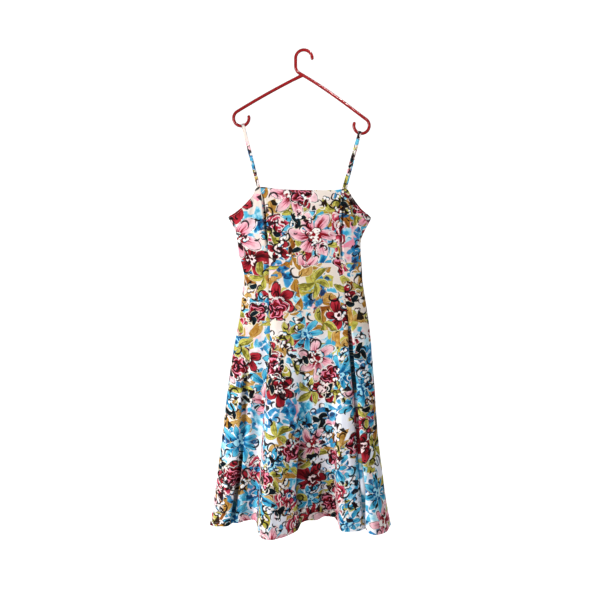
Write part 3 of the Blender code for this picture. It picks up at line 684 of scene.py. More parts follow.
class Wiring:
    """Short ways to add and link the nodes of one tree."""

    def __init__(self, tree):
        self.tree = tree

    def node(self, kind, inputs=(), **settings):
        made = self.tree.nodes.new(kind)
        for name, value in settings.items():
            setattr(made, name, value)
        for key, value in dict(inputs).items():
            self.put(made.inputs[key], value)
        return made

    def put(self, socket, value):
        if isinstance(value, Flow):
            self.tree.links.new(value.socket, socket)
        else:
            socket.default_value = value

    def out(self, node, key=0):
        return Flow(self, node.outputs[key])

    def math(self, operation, *values):
        made = self.node("ShaderNodeMath", operation=operation)
        for socket, value in zip(made.inputs, values):
            self.put(socket, value)
        return self.out(made)

    def vector_math(self, operation, *values):
        made = self.node("ShaderNodeVectorMath", operation=operation)
        for socket, value in zip(made.inputs, values):
            self.put(socket, value)
        return made

    def stretch(self, vector, by):
        """A vector times a vector."""
        return self.out(self.vector_math("MULTIPLY", vector, by))

    def scale(self, vector, by):
        made = self.node("ShaderNodeVectorMath", {"Vector": vector, "Scale": by}, operation="SCALE")
        return self.out(made)

    def shift(self, vector, by):
        return self.out(self.vector_math("ADD", vector, by))

    def join(self, x, y, z=0.0):
        return self.out(self.node("ShaderNodeCombineXYZ", {"X": x, "Y": y, "Z": z}))

    def split(self, vector):
        made = self.node("ShaderNodeSeparateXYZ", {"Vector": vector})
        return [self.out(made, k) for k in range(3)]

    def rise(self, value, low, high):
        """0 below low, 1 above high, smooth between them; the other way round if low > high."""
        made = self.node("ShaderNodeMapRange", interpolation_type="SMOOTHSTEP")
        for key, number in (("Value", value), ("From Min", low), ("From Max", high)):
            self.put(made.inputs[key], number)
        return self.out(made)

    def mix(self, share, under, over):
        made = self.node("ShaderNodeMix", data_type="RGBA")
        self.put(made.inputs[0], share)
        self.put(made.inputs[6], under)
        self.put(made.inputs[7], over)
        return self.out(made, 2)

    def darken(self, colour, share):
        """A colour times a number."""
        grey = self.out(self.node("ShaderNodeCombineColor", {
            "Red": share, "Green": share, "Blue": share}))
        made = self.node("ShaderNodeMix", data_type="RGBA", blend_type="MULTIPLY")
        made.inputs[0].default_value = 1.0
        self.put(made.inputs[6], colour)
        self.put(made.inputs[7], grey)
        return self.out(made, 2)

    def noise(self, vector, size, detail=1.0, roughness=0.5):
        """Uneven values round 0.5 on a plane, whose spots are about size across."""
        made = self.node("ShaderNodeTexNoise", noise_dimensions="2D")
        self.put(made.inputs["Vector"], vector)
        self.put(made.inputs["Scale"], 1.0 / size)
        self.put(made.inputs["Detail"], detail)
        self.put(made.inputs["Roughness"], roughness)
        return made

    def noise_value(self, vector, size, detail=1.0, roughness=0.5):
        return self.out(self.noise(vector, size, detail, roughness))

    def pick(self, x, y):
        """A random number for a pair of whole numbers."""
        pair = self.join(x, y)
        made = self.node("ShaderNodeTexWhiteNoise", {"Vector": pair}, noise_dimensions="2D")
        return self.out(made)

    def group(self, tree, inputs=()):
        made = self.node("ShaderNodeGroup", node_tree=tree)
        for key, value in dict(inputs).items():
            self.put(made.inputs[key], value)
        return made


SOCKETS = {"number": "NodeSocketFloat", "vector": "NodeSocketVector", "colour": "NodeSocketColor"}


def new_group(name, takes, gives):
    """An empty group, its wiring, its inputs by name and the node that takes its results."""
    tree = bpy.data.node_groups.new(name, "ShaderNodeTree")
    for label, kind, default in takes:
        socket = tree.interface.new_socket(
            name=label, in_out="INPUT", socket_type=SOCKETS[kind]
        )
        socket.default_value = default
    for label, kind in gives:
        tree.interface.new_socket(name=label, in_out="OUTPUT", socket_type=SOCKETS[kind])
    wiring = Wiring(tree)
    entry = wiring.node("NodeGroupInput")
    inputs = {label: wiring.out(entry, label) for label, _, _ in takes}
    return tree, wiring, inputs, wiring.node("NodeGroupOutput")


def paint(hex_code):
    """A colour for a socket from its screen value, such as "#a9a83a"."""
    parts = [int(hex_code[k:k + 2], 16) / 255 for k in (1, 3, 5)]
    linear = [c / 12.92 if c <= 0.04045 else ((c + 0.055) / 1.055) ** 2.4 for c in parts]
    return (*linear, 1.0)

WARM_GROUND = paint("#e6dad1")
COOL_GROUND = paint("#e9ebf4")
HALO = paint("#f0eae6")
CREAM = paint("#eee6cc")
INK = paint("#0b0c10")
TEAL_INK = paint("#0f2c36")
WINE_INK = paint("#24050b")
CRIMSON = paint("#8c1320")
MAROON = paint("#3c0710")
ROSE = paint("#cf4d69")
PINK = paint("#ec90a8")
BLUSH = paint("#f6dcdc")
SKY = paint("#3dadd0")
PALE_SKY = paint("#a4dbec")
BLUE = paint("#1484ba")
NAVY = paint("#0b3563")
OLIVE = paint("#7f7a2a")
LIME = paint("#c6bf60")
OCHRE = paint("#b5863a")
RUST = paint("#93551c")
BARK = paint("#4a2d10")


def wobble_group():
    """Moves a point a little, so that what is drawn there looks drawn by hand."""
    tree, w, take, give = new_group(
        "hand wobble",
        (("Vector", "vector", (0, 0, 0)), ("Amount", "number", 0.010), ("Size", "number", 0.038)),
        (("Vector", "vector"),),
    )
    scale = w.math("DIVIDE", 1.0, take["Size"])
    noise = w.node("ShaderNodeTexNoise", {
        "Vector": take["Vector"], "Scale": scale, "Detail": 3.0}, noise_dimensions="2D")
    moved = w.scale(w.shift(w.out(noise, 1), (-0.5, -0.5, -0.5)), take["Amount"])
    w.put(give.inputs["Vector"], w.shift(take["Vector"], moved))
    return tree


def scatter_group():
    """Scatters centres over the cloth and gives each point its place round the nearest one."""
    tree, w, take, give = new_group(
        "scattered centres",
        (
            ("Vector", "vector", (0, 0, 0)),
            ("Spacing", "number", 0.10),
            ("Looseness", "number", 0.5),
            ("Shift", "vector", (0, 0, 0)),
            ("Bunching", "number", 1.0),
        ),
        (("Distance", "number"), ("Turn", "number"), ("Chance", "number"), ("Tint", "number")),
    )
    angle, _, _ = w.split(take["Shift"])
    turned = w.node("ShaderNodeVectorRotate", {
        "Vector": take["Vector"], "Angle": angle}, rotation_type="Z_AXIS")
    cells = w.scale(w.out(turned), w.math("DIVIDE", 1.0, take["Spacing"]))
    cells = w.shift(cells, take["Shift"])
    voronoi = w.node("ShaderNodeTexVoronoi", {
        "Vector": cells, "Scale": 1.0, "Randomness": take["Looseness"]},
        voronoi_dimensions="2D", feature="F1")
    local = w.vector_math("SUBTRACT", cells, w.out(voronoi, "Position"))
    x, y, _ = w.split(w.out(local))
    random = w.node("ShaderNodeSeparateColor", {"Color": w.out(voronoi, "Color")})
    length = w.out(w.vector_math("LENGTH", w.out(local)), "Value")
    w.put(give.inputs["Distance"], length * take["Spacing"])
    turn = w.math("ARCTAN2", y, x) / (2 * math.pi)
    w.put(give.inputs["Turn"], w.math("ADD", turn, w.out(random, 0)) + 1.0)
    back = w.scale(w.out(local), take["Spacing"])
    back = w.node("ShaderNodeVectorRotate", {
        "Vector": back, "Angle": angle}, rotation_type="Z_AXIS", invert=True)
    centre = w.out(w.vector_math("SUBTRACT", take["Vector"], w.out(back)))
    bunch = (w.math("SUBTRACT", 0.5, w.noise_value(centre, 0.17, 1.0))) * take["Bunching"]
    w.put(give.inputs["Chance"], w.out(random, 1) + bunch * 2.2)
    w.put(give.inputs["Tint"], w.out(random, 2))
    return tree


def petals_group():
    """Petals, or leaves, that spread from a centre.

    Reach runs from 0 at the centre to 1 at a petal's edge, and Side from -1 to 1 across it."""
    tree, w, take, give = new_group(
        "petals",
        (
            ("Distance", "number", 0.0),
            ("Turn", "number", 0.0),
            ("Petals", "number", 6.0),
            ("Size", "number", 0.05),
            ("Waist", "number", 0.3),
            ("Fullness", "number", 1.8),
            ("Uneven", "number", 0.42),
            ("Sweep", "number", 0.35),
            ("Seed", "number", 0.0),
        ),
        (("Gap", "number"), ("Reach", "number"), ("Side", "number"), ("Petal", "number")),
    )
    swept = take["Distance"] / take["Size"] * take["Sweep"]
    turns = take["Turn"] * take["Petals"] + swept
    side = (w.math("FRACT", turns) - 0.5) * 2.0
    which = w.math("FLOOR", w.math("MODULO", turns, take["Petals"]))
    petal = w.pick(which, take["Seed"] * 91.0)
    length = take["Size"] * (1.0 - take["Uneven"] * petal)
    tip = 1.0 - w.math("POWER", w.math("ABSOLUTE", side), take["Fullness"])
    edge = length * (take["Waist"] + (1.0 - take["Waist"]) * w.math("POWER", tip, 0.8))
    w.put(give.inputs["Gap"], edge - take["Distance"])
    w.put(give.inputs["Reach"], take["Distance"] / edge)
    w.put(give.inputs["Side"], side)
    w.put(give.inputs["Petal"], petal)
    return tree


def flower_group(scatter, petals):
    """A layer of scattered flowers, painted over what lies under it."""
    tree, w, take, give = new_group(
        "scattered flowers",
        (
            ("Under", "colour", HALO),
            ("Vector", "vector", (0, 0, 0)),
            ("Spacing", "number", 0.10),
            ("Shift", "vector", (0, 0, 0)),
            ("Share", "number", 0.5),
            ("Petals", "number", 6.0),
            ("Size", "number", 0.05),
            ("Waist", "number", 0.3),
            ("Fullness", "number", 1.8),
            ("Heart", "colour", CRIMSON),
            ("Petal", "colour", PINK),
            ("Tip", "colour", BLUSH),
            ("Line", "colour", WINE_INK),
            ("Throat", "colour", HALO),
            ("Line Width", "number", 0.0017),
        ),
        (("Colour", "colour"),),
    )
    centres = w.group(scatter, {key: take[key] for key in ("Vector", "Spacing", "Shift")})
    distance = w.out(centres, "Distance")
    turn = w.out(centres, "Turn")
    tint = w.out(centres, "Tint")
    there = w.math("LESS_THAN", w.out(centres, "Chance"), take["Share"])
    size = take["Size"] * (0.66 + tint * 0.46)
    bloom = w.group(petals, {
        "Distance": distance, "Turn": turn, "Petals": take["Petals"], "Size": size,
        "Waist": take["Waist"], "Fullness": take["Fullness"], "Seed": tint})
    gap = w.out(bloom, "Gap")
    reach = w.out(bloom, "Reach")
    side = w.out(bloom, "Side")
    petal_tint = w.out(bloom, "Petal")
    fine = w.noise_value(take["Vector"], 0.012, 2.0)
    drawn = w.noise_value(w.shift(take["Vector"], (3.1, 1.3, 0)), 0.018, 1.0)
    inside = w.rise(gap, 0.0, 0.0012) * there
    halo = w.rise(gap, -0.0065, -0.0025) * there * 0.85
    streaks = w.noise_value(w.join(side * 3.4 + tint * 40.0 + petal_tint * 9.0, reach * 0.9),
                            1.0, 3.0, 0.65)
    brush = w.noise_value(take["Vector"], 0.016, 3.0, 0.6)
    petal = w.mix(w.rise(reach + (streaks - 0.5) * 1.2, 0.40, 0.95), take["Petal"], take["Tip"])
    petal = w.mix(w.rise(petal_tint + brush * 0.5, 0.75, 1.25) * 0.7, petal, take["Petal"])
    heart = w.rise(reach + (streaks - 0.5) * 1.5, 0.66, 0.30)
    petal = w.mix(heart, petal, take["Heart"])
    rib = w.rise(w.math("ABSOLUTE", side), 0.11, 0.02) * w.rise(reach, 0.85, 0.45)
    petal = w.mix(rib * 0.65, petal, take["Heart"])
    petal = w.darken(petal, 0.60 + brush * 0.68)
    between = w.rise(w.math("ABSOLUTE", side), 0.84, 0.97) * w.rise(drawn, 0.36, 0.50)
    petal = w.mix(between * 0.9, petal, take["Line"])
    throat = w.group(petals, {
        "Distance": distance, "Turn": turn * 1.0 + 0.37, "Petals": 3.0, "Size": size * 0.36,
        "Waist": 0.45, "Fullness": 1.9, "Seed": tint + 3.0})
    throat_gap = w.out(throat, "Gap") + (fine - 0.5) * 0.006
    spots = w.noise_value(take["Vector"], 0.014, 1.0)
    pale = w.mix(w.rise(spots, 0.50, 0.62), take["Throat"], take["Heart"])
    petal = w.mix(w.rise(throat_gap, 0.0, 0.0010), petal, pale)
    throat_line = w.rise(w.math("ABSOLUTE", throat_gap), 0.0016, 0.0007)
    petal = w.mix(throat_line * w.rise(drawn, 0.40, 0.50), petal, take["Line"])
    petal = w.mix(w.rise(distance, 0.0058, 0.0036), petal, take["Heart"])
    width = take["Line Width"] * (fine * 2.0 - 0.15)
    offset = gap + (drawn - 0.5) * 0.008
    outline = w.rise(w.math("ABSOLUTE", offset), width, width * 0.45)
    outline = outline * w.rise(drawn, 0.34, 0.42) * there
    colour = w.mix(halo, take["Under"], HALO)
    colour = w.mix(inside, colour, petal)
    w.put(give.inputs["Colour"], w.mix(outline * 0.92, colour, take["Line"]))
    return tree


def leaf_group(scatter, petals):
    """A layer of scattered sprays of leaves."""
    tree, w, take, give = new_group(
        "scattered leaves",
        (
            ("Under", "colour", HALO),
            ("Vector", "vector", (0, 0, 0)),
            ("Spacing", "number", 0.09),
            ("Shift", "vector", (0, 0, 0)),
            ("Share", "number", 0.5),
            ("Size", "number", 0.05),
            ("Leaves", "number", 5.0),
            ("Kept", "number", 0.62),
            ("Dark", "colour", OLIVE),
            ("Light", "colour", LIME),
            ("Line", "colour", BARK),
        ),
        (("Colour", "colour"),),
    )
    centres = w.group(scatter, {key: take[key] for key in ("Vector", "Spacing", "Shift")})
    tint = w.out(centres, "Tint")
    there = w.math("LESS_THAN", w.out(centres, "Chance"), take["Share"])
    spray = w.group(petals, {
        "Distance": w.out(centres, "Distance"), "Turn": w.out(centres, "Turn"),
        "Petals": take["Leaves"], "Size": take["Size"], "Waist": 0.02, "Fullness": 1.30,
        "Uneven": 0.45, "Sweep": 0.6, "Seed": tint + 5.0})
    gap = w.out(spray, "Gap")
    side = w.out(spray, "Side")
    reach = w.out(spray, "Reach")
    leaf = w.out(spray, "Petal")
    there = there * w.math("LESS_THAN", leaf, take["Kept"])
    brush = w.noise_value(take["Vector"], 0.014, 3.0, 0.6)
    drawn = w.noise_value(w.shift(take["Vector"], (1.7, 4.9, 0)), 0.018, 1.0)
    lit = w.rise(side * 0.7 + (brush - 0.5) * 2.0 + (leaf - 0.2), -0.45, 0.35)
    colour = w.darken(w.mix(lit, take["Dark"], take["Light"]), 0.64 + brush * 0.68)
    vein = w.rise(w.math("ABSOLUTE", side), 0.09, 0.02) * w.rise(reach, 0.95, 0.6)
    colour = w.mix(vein * 0.75, colour, take["Line"])
    ribs = w.math("FRACT", reach * 5.0 - w.math("ABSOLUTE", side) * 1.6)
    colour = w.mix(w.rise(w.math("ABSOLUTE", ribs - 0.5), 0.43, 0.49) * 0.35, colour, take["Line"])
    halo = w.rise(gap, -0.005, -0.002) * there * 0.75
    offset = gap + (drawn - 0.5) * 0.008
    outline = w.rise(w.math("ABSOLUTE", offset), 0.0017, 0.0006) * w.rise(brush, 0.42, 0.52)
    painted = w.mix(halo, take["Under"], CREAM)
    painted = w.mix(w.rise(gap, 0.0, 0.0012) * there, painted, colour)
    w.put(give.inputs["Colour"], w.mix(outline * there * 0.85, painted, take["Line"]))
    return tree


def rose_group(scatter):
    """A layer of scattered roses: rolled petals as loose turns of the brush."""
    tree, w, take, give = new_group(
        "scattered roses",
        (
            ("Under", "colour", HALO),
            ("Vector", "vector", (0, 0, 0)),
            ("Spacing", "number", 0.08),
            ("Shift", "vector", (0, 0, 0)),
            ("Share", "number", 0.5),
            ("Size", "number", 0.026),
            ("Dark", "colour", CRIMSON),
            ("Middle", "colour", ROSE),
            ("Light", "colour", BLUSH),
            ("Line", "colour", WINE_INK),
        ),
        (("Colour", "colour"),),
    )
    centres = w.group(scatter, {key: take[key] for key in ("Vector", "Spacing", "Shift")})
    distance = w.out(centres, "Distance")
    turn = w.out(centres, "Turn")
    tint = w.out(centres, "Tint")
    there = w.math("LESS_THAN", w.out(centres, "Chance"), take["Share"])
    uneven = w.noise_value(take["Vector"], 0.022, 2.0, 0.6)
    fine = w.noise_value(take["Vector"], 0.009, 2.0)
    lobes = w.math("ABSOLUTE", w.math("SINE", turn * (5 * math.pi)))
    edge = take["Size"] * (0.42 + uneven * 0.70 + lobes * 0.24)
    gap = edge - distance
    share = distance / edge
    folded = w.math("ABSOLUTE", w.math("SINE", turn * (3 * math.pi) + share * 3.0 + tint * 6.0))
    curl = share * 2.1 + folded * 0.75 + uneven * 1.6
    band = w.math("FRACT", curl)
    colour = w.mix(w.rise(band, 0.10, 0.45), take["Dark"], take["Middle"])
    colour = w.mix(w.rise(band + (fine - 0.5) * 0.5, 0.50, 0.80), colour, take["Light"])
    line = w.rise(w.math("ABSOLUTE", band - 0.5), 0.40, 0.47) * w.rise(fine, 0.36, 0.48)
    colour = w.mix(line * 0.9, colour, take["Line"])
    colour = w.mix(w.rise(share, 0.24, 0.10), colour, take["Dark"])
    outline = w.rise(w.math("ABSOLUTE", gap), 0.0019, 0.0008) * w.rise(uneven, 0.40, 0.48) * there
    halo = w.rise(gap, -0.006, -0.0025) * there * 0.8
    painted = w.mix(halo, take["Under"], HALO)
    painted = w.mix(w.rise(gap, 0.0, 0.0012) * there, painted, colour)
    w.put(give.inputs["Colour"], w.mix(outline * 0.9, painted, take["Line"]))
    return tree


def daub_group(scatter):
    """Wet dabs of thin paint in loose clusters, darker where they pool."""
    tree, w, take, give = new_group(
        "wet dabs",
        (
            ("Under", "colour", HALO),
            ("Vector", "vector", (0, 0, 0)),
            ("Shift", "vector", (0, 0, 0)),
            ("Spacing", "number", 0.024),
            ("Share", "number", 0.5),
            ("Size", "number", 0.012),
            ("Cluster", "number", 0.12),
            ("Thin", "colour", PALE_SKY),
            ("Thick", "colour", SKY),
            ("Pool", "colour", BLUE),
        ),
        (("Colour", "colour"),),
    )
    place = w.shift(take["Vector"], take["Shift"])
    scale = w.math("DIVIDE", 1.0, take["Cluster"])
    clusters = w.node("ShaderNodeTexNoise", {
        "Vector": place, "Scale": scale, "Detail": 1.0}, noise_dimensions="2D")
    centres = w.group(scatter, {
        "Vector": take["Vector"], "Spacing": take["Spacing"], "Shift": take["Shift"],
        "Looseness": 0.95, "Bunching": -0.3})
    tint = w.out(centres, "Tint")
    level = w.math("SUBTRACT", 1.0, w.out(clusters)) + (w.out(centres, "Chance") - 0.5) * 0.30
    there = w.math("LESS_THAN", level, 0.30 + take["Share"] * 0.40)
    wet = w.noise_value(place, 0.016, 3.0, 0.6)
    long_way = w.math("COSINE", w.out(centres, "Turn") * (4 * math.pi))
    edge = take["Size"] * (0.38 + tint * 0.40 + long_way * 0.26 + wet * 0.50)
    gap = edge - w.out(centres, "Distance")
    inside = w.rise(gap, take["Size"] * -0.12, take["Size"] * 0.22)
    tone = wet * 0.9 + (tint - 0.5) * 0.5 + gap * 14.0
    colour = w.mix(w.rise(tone, 0.30, 0.62), take["Thin"], take["Thick"])
    colour = w.mix(w.rise(tone, 0.60, 0.85), colour, take["Pool"])
    rim = w.rise(w.math("ABSOLUTE", gap - 0.0012), 0.0016, 0.0004)
    colour = w.mix(rim * w.rise(wet, 0.42, 0.56) * 0.55, colour, take["Pool"])
    w.put(give.inputs["Colour"], w.mix(inside * there * 0.94, take["Under"], colour))
    return tree


def curl_group(scatter):
    """Curled ink strokes, thick in the middle and thin at both ends."""
    tree, w, take, give = new_group(
        "ink curls",
        (
            ("Under", "colour", HALO),
            ("Vector", "vector", (0, 0, 0)),
            ("Shift", "vector", (0, 0, 0)),
            ("Spacing", "number", 0.050),
            ("Size", "number", 0.014),
            ("Share", "number", 0.4),
            ("Width", "number", 0.0021),
            ("Ink", "colour", INK),
        ),
        (("Colour", "colour"),),
    )
    centres = w.group(scatter, {key: take[key] for key in ("Vector", "Spacing", "Shift")})
    there = w.math("LESS_THAN", w.out(centres, "Chance"), take["Share"])
    tint = w.out(centres, "Tint")
    share = w.math("FRACT", w.out(centres, "Turn"))
    radius = take["Size"] * (0.40 + tint * 0.5 + share * 0.55)
    run = share / (0.22 + tint * 0.62)
    taper = w.math("MAXIMUM", run * (1.0 - run) * 4.0, 0.0)
    width = take["Width"] * w.math("POWER", taper, 0.7)
    line = w.rise(w.math("ABSOLUTE", w.out(centres, "Distance") - radius), width, width * 0.4)
    line = line * w.rise(taper, 0.02, 0.10)
    w.put(give.inputs["Colour"], w.mix(line * there * 0.95, take["Under"], take["Ink"]))
    return tree


def loop_group(scatter):
    """Small rolled petals: ovals drawn with a pen that is pressed harder on the shaded side."""
    tree, w, take, give = new_group(
        "pen loops",
        (
            ("Under", "colour", HALO),
            ("Vector", "vector", (0, 0, 0)),
            ("Shift", "vector", (0, 0, 0)),
            ("Spacing", "number", 0.030),
            ("Size", "number", 0.010),
            ("Share", "number", 0.5),
            ("Width", "number", 0.0016),
            ("Fill", "colour", HALO),
            ("Shade", "colour", CRIMSON),
            ("Ink", "colour", INK),
        ),
        (("Colour", "colour"),),
    )
    centres = w.group(scatter, {
        "Vector": take["Vector"], "Spacing": take["Spacing"], "Shift": take["Shift"],
        "Looseness": 0.85})
    there = w.math("LESS_THAN", w.out(centres, "Chance"), take["Share"])
    tint = w.out(centres, "Tint")
    distance = w.out(centres, "Distance")
    around = w.out(centres, "Turn") * (2 * math.pi)
    oval = w.math("COSINE", around * 2.0 + tint * 9.0) * 0.24 + w.math("SINE", around) * 0.08
    edge = take["Size"] * (0.45 + tint * 0.35 + oval)
    pressed = w.math("SINE", around + tint * 5.0)
    shade = w.rise(pressed * distance / edge, 0.05, 0.80)
    filled = w.mix(shade, take["Fill"], take["Shade"])
    painted = w.mix(w.rise(edge - distance, 0.0, 0.0010) * there, take["Under"], filled)
    width = take["Width"] * (pressed * 0.60 + 0.55)
    line = w.rise(w.math("ABSOLUTE", edge - distance), width, width * 0.45)
    w.put(give.inputs["Colour"], w.mix(line * there * 0.95, painted, take["Ink"]))
    return tree


# Layers of the print from the ground up: kind, and what each takes. The shares are for the
# bodice, for the waist and for the skirt.
LAYERS = (
    ("daub", {"Shift": (0.31, 0.77, 0), "Spacing": 0.050, "Share": (0.26, 0.16, 0.16),
              "Size": 0.026, "Thin": BLUSH, "Thick": paint("#f0c2ca"), "Pool": PINK}),
    ("daub", {"Shift": (2.10, 0.40, 0), "Spacing": 0.036, "Share": (0.12, 0.06, 0.24),
              "Size": 0.023, "Thin": paint("#cbe8f1"), "Thick": PALE_SKY, "Pool": SKY}),
    ("leaf", {"Spacing": 0.150, "Shift": (0.30, 0.10, 0), "Share": (0.75, 1.35, 0.42),
              "Size": 0.090, "Leaves": 4.0, "Dark": paint("#a5a040"), "Line": OCHRE}),
    ("daub", {"Shift": (5.30, 1.70, 0), "Spacing": 0.026, "Share": (0.24, 0.08, 0.35),
              "Size": 0.0165, "Cluster": 0.10, "Thin": PALE_SKY, "Thick": SKY, "Pool": BLUE}),
    ("leaf", {"Spacing": 0.115, "Shift": (4.70, 2.90, 0), "Share": (0.60, 1.50, 0.36),
              "Size": 0.072, "Kept": 0.85, "Dark": RUST, "Light": OCHRE}),
    ("leaf", {"Spacing": 0.092, "Shift": (2.70, 11.30, 0), "Share": (0.55, 1.50, 0.34),
              "Size": 0.056, "Leaves": 3.0, "Kept": 0.78, "Dark": OCHRE, "Light": paint("#c8a462"),
              "Line": RUST}),
    ("loop", {"Shift": (3.40, 4.10, 0), "Spacing": 0.040, "Share": (0.40, 0.35, 0.42),
              "Size": 0.0150, "Width": 0.0024}),
    ("rose", {"Spacing": 0.115, "Shift": (1.40, 6.20, 0), "Share": (0.70, 0.40, 0.40),
              "Size": 0.042}),
    ("daub", {"Shift": (1.20, 7.70, 0), "Spacing": 0.020, "Share": (0.22, 0.06, 0.19),
              "Size": 0.0140, "Cluster": 0.09, "Thin": SKY, "Thick": BLUE, "Pool": NAVY}),
    ("flower", {"Spacing": 0.145, "Shift": (4.35, 12.70, 0), "Share": (1.25, 1.20, 0.48),
                "Petals": 5.0, "Size": 0.068, "Waist": 0.34, "Fullness": 1.7, "Heart": MAROON,
                "Petal": CRIMSON, "Tip": paint("#b83442"), "Line": INK, "Throat": BLUSH,
                "Line Width": 0.0038}),
    ("flower", {"Spacing": 0.150, "Shift": (7.30, 3.10, 0), "Share": (0.50, 0.34, 0.85),
                "Petals": 8.0, "Size": 0.072, "Waist": 0.20, "Fullness": 1.5,
                "Heart": paint("#0e5f92"), "Petal": paint("#2695c2"), "Tip": paint("#68c2dc"),
                "Line": NAVY, "Throat": PALE_SKY, "Line Width": 0.0026}),
    ("leaf", {"Spacing": 0.105, "Shift": (9.20, 8.40, 0), "Share": (0.75, 1.15, 0.44),
              "Size": 0.056}),
    ("flower", {"Spacing": 0.175, "Shift": (11.60, 5.80, 0), "Share": (1.10, 0.35, 0.52),
                "Petals": 6.0, "Size": 0.084, "Waist": 0.28, "Fullness": 1.5,
                "Tip": paint("#f3ccd2"), "Line Width": 0.0022}),
    ("rose", {"Spacing": 0.120, "Shift": (8.80, 1.20, 0), "Share": (0.50, 0.35, 0.26),
              "Size": 0.033, "Dark": MAROON, "Middle": CRIMSON, "Light": PINK, "Line": INK}),
    ("leaf", {"Spacing": 0.070, "Shift": (10.40, 2.20, 0), "Share": (0.26, 0.18, 0.28),
              "Size": 0.030, "Leaves": 3.0, "Kept": 0.50, "Dark": INK, "Light": TEAL_INK,
              "Line": INK}),
    ("loop", {"Shift": (8.10, 2.60, 0), "Spacing": 0.033, "Share": (0.30, 0.22, 0.28),
              "Size": 0.0115, "Width": 0.0020, "Shade": SKY, "Ink": WINE_INK}),
    ("curl", {"Shift": (2.20, 5.10, 0), "Spacing": 0.038, "Share": (0.32, 0.26, 0.26),
              "Size": 0.011, "Width": 0.0024, "Ink": HALO}),
    ("curl", {"Shift": (0.90, 3.30, 0), "Spacing": 0.044, "Share": (0.74, 0.66, 0.80),
              "Size": 0.014, "Width": 0.0042}),
    ("curl", {"Shift": (6.40, 9.10, 0), "Spacing": 0.031, "Share": (0.54, 0.46, 0.56),
              "Size": 0.008, "Width": 0.0030, "Ink": WINE_INK}),
)


# How far, in metres, a layer's edges stray over the colours under it. It also makes each layer
# wait for the one under it, so the renderer never holds the unfinished values of several.
STRAY = 0.0006


def print_group():
    """The whole print: a pale ground and its layers of wet paint, leaves, flowers and ink."""
    scatter = scatter_group()
    petals = petals_group()
    kinds = {
        "daub": daub_group(scatter),
        "leaf": leaf_group(scatter, petals),
        "rose": rose_group(scatter),
        "flower": flower_group(scatter, petals),
        "curl": curl_group(scatter),
        "loop": loop_group(scatter),
    }
    tree, w, take, give = new_group(
        "painted flowers",
        (
            ("Vector", "vector", (0, 0, 0)),
            ("Height", "number", 0.0),
            ("Warm Ground", "colour", WARM_GROUND),
            ("Cool Ground", "colour", COOL_GROUND),
        ),
        (("Colour", "colour"),),
    )
    place = w.out(w.group(wobble_group(), {"Vector": take["Vector"]}))
    belt = w.rise(take["Height"], -0.57, -0.67)
    low = w.rise(take["Height"], -0.79, -0.87)
    colour = w.mix(low, take["Warm Ground"], take["Cool Ground"])
    for kind, values in LAYERS:
        bodice, waist, skirt = values["Share"]
        share = belt * (waist - bodice) + low * (skirt - waist) + bodice
        strayed = w.vector_math("MULTIPLY_ADD", colour, (STRAY, STRAY, STRAY), place)
        layer = w.group(kinds[kind], {
            **values, "Under": colour, "Vector": w.out(strayed), "Share": share})
        colour = w.out(layer)
    w.put(give.inputs["Colour"], colour)
    return tree


def weave_group():
    """A plain weave: its relief, and the slight shade of uneven threads."""
    tree, w, take, give = new_group(
        "plain weave",
        (("Vector", "vector", (0, 0, 0)), ("Thread", "number", 0.0005)),
        (("Relief", "number"), ("Shade", "number")),
    )
    x, y, _ = w.split(take["Vector"])
    turns = w.math("DIVIDE", math.pi, take["Thread"])
    warp = w.math("SINE", x * turns)
    weft = w.math("SINE", y * turns)
    w.put(give.inputs["Relief"], warp * weft * 0.5 + 0.5)
    along = w.noise_value(w.stretch(take["Vector"], (1.0, 0.04, 1.0)), 0.0012, 1.0)
    across = w.noise_value(w.stretch(take["Vector"], (0.04, 1.0, 1.0)), 0.0012, 1.0)
    w.put(give.inputs["Shade"], 0.93 + along * 0.07 + across * 0.07)
    return tree


def crumple_group():
    """Small soft creases of worn cotton, as a height."""
    tree, w, take, give = new_group(
        "soft crumple",
        (("Vector", "vector", (0, 0, 0)), ("Size", "number", 0.016)),
        (("Height", "number"),),
    )
    place = w.stretch(take["Vector"], (1.0, 0.55, 1.0))
    scale = w.math("DIVIDE", 1.0, take["Size"])
    noise = w.node("ShaderNodeTexNoise", {
        "Vector": place, "Scale": scale, "Detail": 2.0, "Distortion": 0.4}, noise_dimensions="2D")
    w.put(give.inputs["Height"], w.math("SUBTRACT", 1.0, w.math("ABSOLUTE", w.out(noise) * 2.0 - 1.0)))
    return tree


def new_material(name):
    material = bpy.data.materials.new(name)
    material.use_nodes = True
    return material, Wiring(material.node_tree), material.node_tree.nodes["Principled BSDF"]


